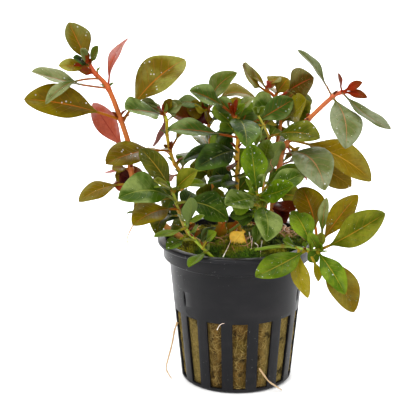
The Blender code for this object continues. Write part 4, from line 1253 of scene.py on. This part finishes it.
def pot_columns(profile):
    """Turn of every grid point, in degrees: (rows, columns).

    Each slot's sector has RIB_CELLS columns, SLOT_CELLS across the slot, and RIB_CELLS more. The
    columns at the slot's sides follow its taper, and above it the slit's lens.
    """
    radius, height = np.maximum(profile[:, 0], 1.0), profile[:, 1]
    rise = np.clip((height - SLOT_BOTTOM) / (SLOT_TOP - SLOT_BOTTOM), 0.0, 1.0)
    width = SLOT_WIDTH_LOW + rise * (SLOT_WIDTH_HIGH - SLOT_WIDTH_LOW)
    slot_half = np.degrees(width / 2 / np.maximum(radius, FOOT_RADIUS - WALL))
    lens = np.clip((height - SLIT_BOTTOM) / (SLIT_TOP - SLIT_BOTTOM), 0.0, 1.0)
    slit_half = np.degrees((0.02 + SLIT_WIDTH / 2 * np.sin(np.pi * lens)) / radius)
    in_wall = (height > SLOT_TOP + 1.0) & (height < COLLAR_BOTTOM - 2.0)
    cells = np.arange(SECTOR_CELLS)
    before = np.minimum(cells, RIB_CELLS) / RIB_CELLS
    across = np.clip((cells - RIB_CELLS) / SLOT_CELLS, 0, 1)
    after = np.maximum(cells - RIB_CELLS - SLOT_CELLS, 0) / RIB_CELLS
    pitch = 360.0 / SLOTS
    turns = []
    for sector in range(SLOTS):
        has_slit = in_wall & (sector in SLIT_SLOTS)
        half = np.where(has_slit, slit_half, slot_half)[:, None]
        middle = np.where(has_slit, SLIT_TURN, 0.0)[:, None]
        turn = (-pitch / 2 + before * (middle - half + pitch / 2) + across * (2 * half)
                + after * (pitch / 2 - (middle + half)))
        turns.append(SLOT_COMPASS + pitch * sector + turn)
    return np.concatenate(turns, axis=1)


def cut_walls(faces, columns, rows, sectors):
    """Takes the wall's cells out of slots or slits and closes their sides and sills.

    rows is (first row outside, its matching row inside, cells high).
    """
    outside, inside, high = rows
    row, column = np.divmod(faces[:, 0], columns)
    sector, cell = np.divmod(column, SECTOR_CELLS)
    in_slot = np.isin(sector, sectors) & (cell >= RIB_CELLS) & (cell < RIB_CELLS + SLOT_CELLS)
    in_outer = (row >= outside) & (row < outside + high)
    in_inner = (row >= inside - high) & (row < inside)
    kept = faces[~(in_slot & (in_outer | in_inner))]
    new = []
    steps = np.arange(high)
    across = np.arange(SLOT_CELLS)
    for number in sectors:
        left = number * SECTOR_CELLS + RIB_CELLS
        for edge in (left, left + SLOT_CELLS):
            new.append(np.stack([(outside + steps) * columns + edge,
                                 (outside + steps + 1) * columns + edge,
                                 (inside - steps - 1) * columns + edge,
                                 (inside - steps) * columns + edge], -1))
        for level in (0, high):
            outer = (outside + level) * columns + left + across
            inner = (inside - level) * columns + left + across
            new.append(np.stack([outer, outer + 1, inner + 1, inner], -1))
    return np.concatenate([kept, *new])


def add_pot():
    """The net pot: its profile turned round the axis, with 15 tapered slots and 3 lens slits."""
    profile, slot_rows, slit_rows = pot_profile()
    turns = np.radians(pot_columns(profile))
    rows, columns = turns.shape
    points = round_points(profile[:, :1], turns, profile[:, 1:])
    faces = grid_faces(rows, columns)
    faces = cut_walls(faces, columns, slot_rows, list(range(SLOTS)))
    faces = cut_walls(faces, columns, slit_rows, list(SLIT_SLOTS))
    ends = [list(range(columns)), list(range((rows - 1) * columns, rows * columns))]
    pot = add_mesh("net_pot", points.reshape(-1, 3), faces.tolist() + ends, [pot_material()],
                   turn_out=True)
    bevel = pot.modifiers.new("soft_edges", "BEVEL")
    bevel.width = POT_BEVEL * MM
    bevel.segments = 2
    bevel.limit_method = "ANGLE"
    bevel.angle_limit = math.radians(50)
    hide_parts("pot")


# Rock wool and moss


def wool_radius(turn, height):
    """Radius of the rock wool: the pot's inner wall less a gap, bulging into the slots."""
    inner = wall_radius(np.minimum(height, COLLAR_BOTTOM)) - WALL - WOOL_GAP
    pitch = 2.0 * np.pi / SLOTS
    off = (turn - math.radians(SLOT_COMPASS) + pitch / 2) % pitch - pitch / 2
    in_slot = smooth_step(0.11, 0.05, np.abs(off))
    in_slot = in_slot * smooth_step(SLOT_BOTTOM - 0.5, SLOT_BOTTOM + 2, height)
    return inner + WOOL_BULGE * in_slot * smooth_step(SLOT_TOP + 0.5, SLOT_TOP - 2, height)


def add_rock_wool():
    """The rock wool's core: radius(turn, height) plus uneven lumps of two sizes."""
    rows, columns = WOOL_GRID
    height = np.linspace(FLOOR + 0.3, WOOL_TOP, rows)[:, None]
    turn = 2.0 * np.pi * np.arange(columns)[None] / columns
    flat = round_points(wool_radius(turn, height), turn, height)
    lumps = 0.16 * ruffle(flat, 3.0, SEEDS["wool"]) + 0.12 * ruffle(flat, 1.1, SEEDS["wool_fine"])
    out = round_points(1.0, turn, 0.0)
    points = flat + np.minimum(lumps - 0.15, 0.1)[..., None] * out
    vertices, faces = skins(points[None])
    core = add_mesh("rock_wool_core", vertices, faces, [wool_material()],
                    {"tone": np.full(len(vertices), -1.0)}, turn_out=True)
    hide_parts("rock_wool")


def add_wool_fibres(rng):
    """Fibres over the rock wool in the slots: thin three-sided tubes along arcs on its surface.

    A fibre's way turns evenly from its slope to its slope + bend, and its middle is lifted.
    """
    count, rings, sides = WOOL_FIBRES, 6, 3
    sector = rng.integers(0, SLOTS, count)
    start_turn = np.radians(SLOT_COMPASS + 360.0 / SLOTS * sector + rng.uniform(-7, 7, count))
    start_height = rng.uniform(SLOT_BOTTOM, SLOT_TOP + 0.5, count)
    length = rng.uniform(1.5, 5.0, count)
    slope = rng.uniform(0, 2 * np.pi, count)
    bend = rng.uniform(-1.2, 1.2, count)
    step = np.linspace(0.0, 1.0, rings)[None]
    way = slope[:, None] + bend[:, None] * step
    across = np.cumsum(np.cos(way), 1) * length[:, None] / rings
    rise = np.cumsum(np.sin(way), 1) * length[:, None] / rings
    height = np.clip(start_height[:, None] + rise, SLOT_BOTTOM - 0.5, SLOT_TOP + 1.5)
    turn = start_turn[:, None] + across / FIBRE_RADIUS
    lift = rng.uniform(-0.08, 0.22, count)[:, None] + 0.12 * np.sin(np.pi * step)
    radius = np.minimum(wool_radius(turn, height) + lift, wall_radius(height) - 0.1)
    paths = round_points(radius, turn, height)
    size = rng.uniform(0.04, 0.09, count)[:, None] * np.ones((1, rings))
    vertices, faces = skins(tubes(paths, size, sides))
    tone = np.repeat(rng.uniform(-1.0, 0.9, count), rings * sides)
    fibres = add_mesh("rock_wool_fibres", vertices, faces, [wool_material()], {"tone": tone})


def add_moss_bed():
    """The moss's bed: a disc at the moss's height plus hummocks of two sizes, with a flat base."""
    rows, columns = MOSS_GRID
    share = np.linspace(0.001, 1.0, rows)[:, None]
    turn = 2.0 * np.pi * np.arange(columns)[None] / columns
    flat = round_points(MOSS_RADIUS * share, turn, 0.0)
    hummocks = 0.45 * ruffle(flat, 4.0, SEEDS["moss"]) + 0.3 * ruffle(flat, 1.6, SEEDS["moss_fine"])
    top = flat + (moss_top(flat[..., 0], flat[..., 1]) + hummocks - 0.3)[..., None] * UP
    base = flat[-1:] + (WOOL_TOP + 0.1) * UP
    vertices, faces = skins(np.concatenate([top, base])[None])
    bed = add_mesh("moss_bed", vertices, faces, [moss_material()],
                   {"tone": np.zeros(len(vertices))}, turn_out=True)
    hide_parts("moss")


def add_moss_blades(rng):
    """Thousands of tapered blades: foot + length·(lean·t + 0.4·droop·t²), cut at a height."""
    count, sides = MOSS_BLADES, 4
    taper = np.array([0.6, 1.0, 0.9, 0.6, 0.12])
    reach = MOSS_RADIUS * np.sqrt(rng.uniform(0.02, 0.98, count))
    turn = rng.uniform(0, 2 * np.pi, count)
    x, y = reach * np.cos(turn), reach * np.sin(turn)
    foot = np.stack([x, y, moss_top(x, y) - 0.6], -1)
    lean = compass_way(rng.uniform(0, 360, count), rng.uniform(25, 85, count))
    droop = compass_way(rng.uniform(0, 360, count), np.zeros(count))
    step = np.linspace(0.0, 1.0, len(taper))[None, :, None]
    length = rng.uniform(0.9, 2.4, count)[:, None, None]
    paths = foot[:, None] + length * (step * lean[:, None] + 0.4 * step ** 2 * droop[:, None])
    size = rng.uniform(0.12, 0.28, count)[:, None] * taper
    points = tubes(paths, size, sides)
    ceiling = (moss_top(x, y) + MOSS_BLADE_LIMIT)[:, None, None]
    points[..., 2] = np.minimum(points[..., 2], ceiling)
    vertices, faces = skins(points)
    tone = rng.uniform(-0.4, 1.0, count)[:, None] * np.linspace(0.2, 1.0, len(taper))
    blades = add_mesh("moss_blades", vertices, faces, [moss_material()],
                      {"tone": np.repeat(tone, sides)})


def add_litter(rng):
    """Dry stalks over the moss: tubes on parabolas through random points of the litter heaps."""
    count, rings, sides = sum(heap[3] for heap in LITTER_HEAPS), 9, 6
    middle = np.concatenate([rng.normal((x, y), spread, (number, 2))
                             for x, y, spread, number in LITTER_HEAPS])
    way = rng.uniform(0, np.pi, count)[:, None]
    length = rng.uniform(2.5, 8.0, count)[:, None]
    step = np.linspace(-0.5, 0.5, rings)[None]
    bend = rng.uniform(-0.45, 0.45, count)[:, None] * length * 4 * step ** 2
    x = middle[:, :1] + length * step * np.cos(way) - bend * np.sin(way)
    y = middle[:, 1:] + length * step * np.sin(way) + bend * np.cos(way)
    inside = np.minimum(1.0, LITTER_REACH / np.maximum(np.hypot(x, y), 1e-6))
    x, y = x * inside, y * inside
    z = moss_top(x, y) + 0.3 + rng.uniform(0.0, 3.0, count)[:, None] * (0.5 + step)
    size = rng.uniform(0.1, 0.26, count)[:, None] * np.linspace(1.0, 0.6, rings)
    vertices, faces = skins(tubes(np.stack([x, y, z], -1), size, sides))
    share = np.tile(np.repeat(np.linspace(0, 1, rings), sides), count)
    litter = add_mesh("dry_litter", vertices, faces, [root_material("dry_stalks")], {"along": share})


# Stage


def add_floor():
    """A plain pale floor, lifted behind by FLOOR_RISE·u^2.2 over the share u of its bend."""
    start, end = FLOOR_BEND
    across = np.linspace(-FLOOR_HALF, FLOOR_HALF, 2)
    depth = np.concatenate([[-FLOOR_HALF], np.linspace(start, end, 18)])
    lift = FLOOR_RISE * ((np.maximum(depth, start) - start) / (end - start)) ** 2.2
    points = [(x, y, z - FLOOR_DROP) for y, z in zip(depth, lift) for x in across]
    faces = [(2 * k, 2 * k + 1, 2 * k + 3, 2 * k + 2) for k in range(len(depth) - 1)]
    mesh = bpy.data.meshes.new("floor")
    mesh.from_pydata(points, [], faces)
    mesh.shade_smooth()
    material, tree, shader = new_material("pale_floor")
    set_surface(tree, shader, (0.86, 0.86, 0.86), 0.9)
    mesh.materials.append(material)
    floor = bpy.data.objects.new("floor", mesh)
    bpy.context.scene.collection.objects.link(floor)


def add_lights():
    """Soft studio lights, each turned to its target, and a white surround."""
    world = bpy.data.worlds.new("studio")
    world.use_nodes = True
    backdrop = world.node_tree.nodes["Background"]
    backdrop.inputs["Color"].default_value = (1.0, 1.0, 1.0, 1.0)
    backdrop.inputs["Strength"].default_value = SURROUND_LIGHT
    bpy.context.scene.world = world
    for name, place, target, size, power in LIGHTS:
        light = bpy.data.lights.new(name, "AREA")
        light.shape = "DISK"
        light.size = size
        light.energy = power
        lamp = bpy.data.objects.new(name, light)
        lamp.location = place
        aim = Vector(target) - Vector(place)
        lamp.rotation_euler = aim.to_track_quat("-Z", "Y").to_euler()
        bpy.context.scene.collection.objects.link(lamp)


def add_camera():
    """The camera at the photograph's angle: its target, distance, rise and focal length."""
    rise = math.radians(CAMERA_RISE)
    target = Vector(CAMERA_TARGET)
    away = Vector((0.0, -math.cos(rise), math.sin(rise)))
    data = bpy.data.cameras.new("camera")
    data.sensor_width = SENSOR_WIDTH
    data.lens = FOCAL_PIXELS * SENSOR_WIDTH / FRAME_PIXELS
    data.clip_start = 0.01
    camera = bpy.data.objects.new("camera", data)
    camera.location = (target + away * CAMERA_DISTANCE) * MM
    camera.rotation_euler = (-away).to_track_quat("-Z", "Y").to_euler()
    bpy.context.scene.collection.objects.link(camera)
    bpy.context.scene.camera = camera
    bpy.context.scene.view_settings.view_transform = "Standard"


def draws(name, number=0):
    """The random numbers of one kind of piece."""
    return np.random.default_rng(SEEDS[name] + number)


add_camera()
add_floor()
add_lights()
add_pot()
add_rock_wool()
add_wool_fibres(draws("wool_fibres"))
add_moss_bed()
add_moss_blades(draws("moss_blades"))
add_litter(draws("litter"))
large_leaves = []
for shoot_number, (shoot_name, shoot_rows) in enumerate(SHOOTS.items()):
    large_leaves += add_shoot(shoot_name, shoot_rows, draws("shoots", shoot_number))
add_all_roots()
add_dead_leaves(draws("dead_leaves"))
add_droplets(large_leaves, draws("drops"))
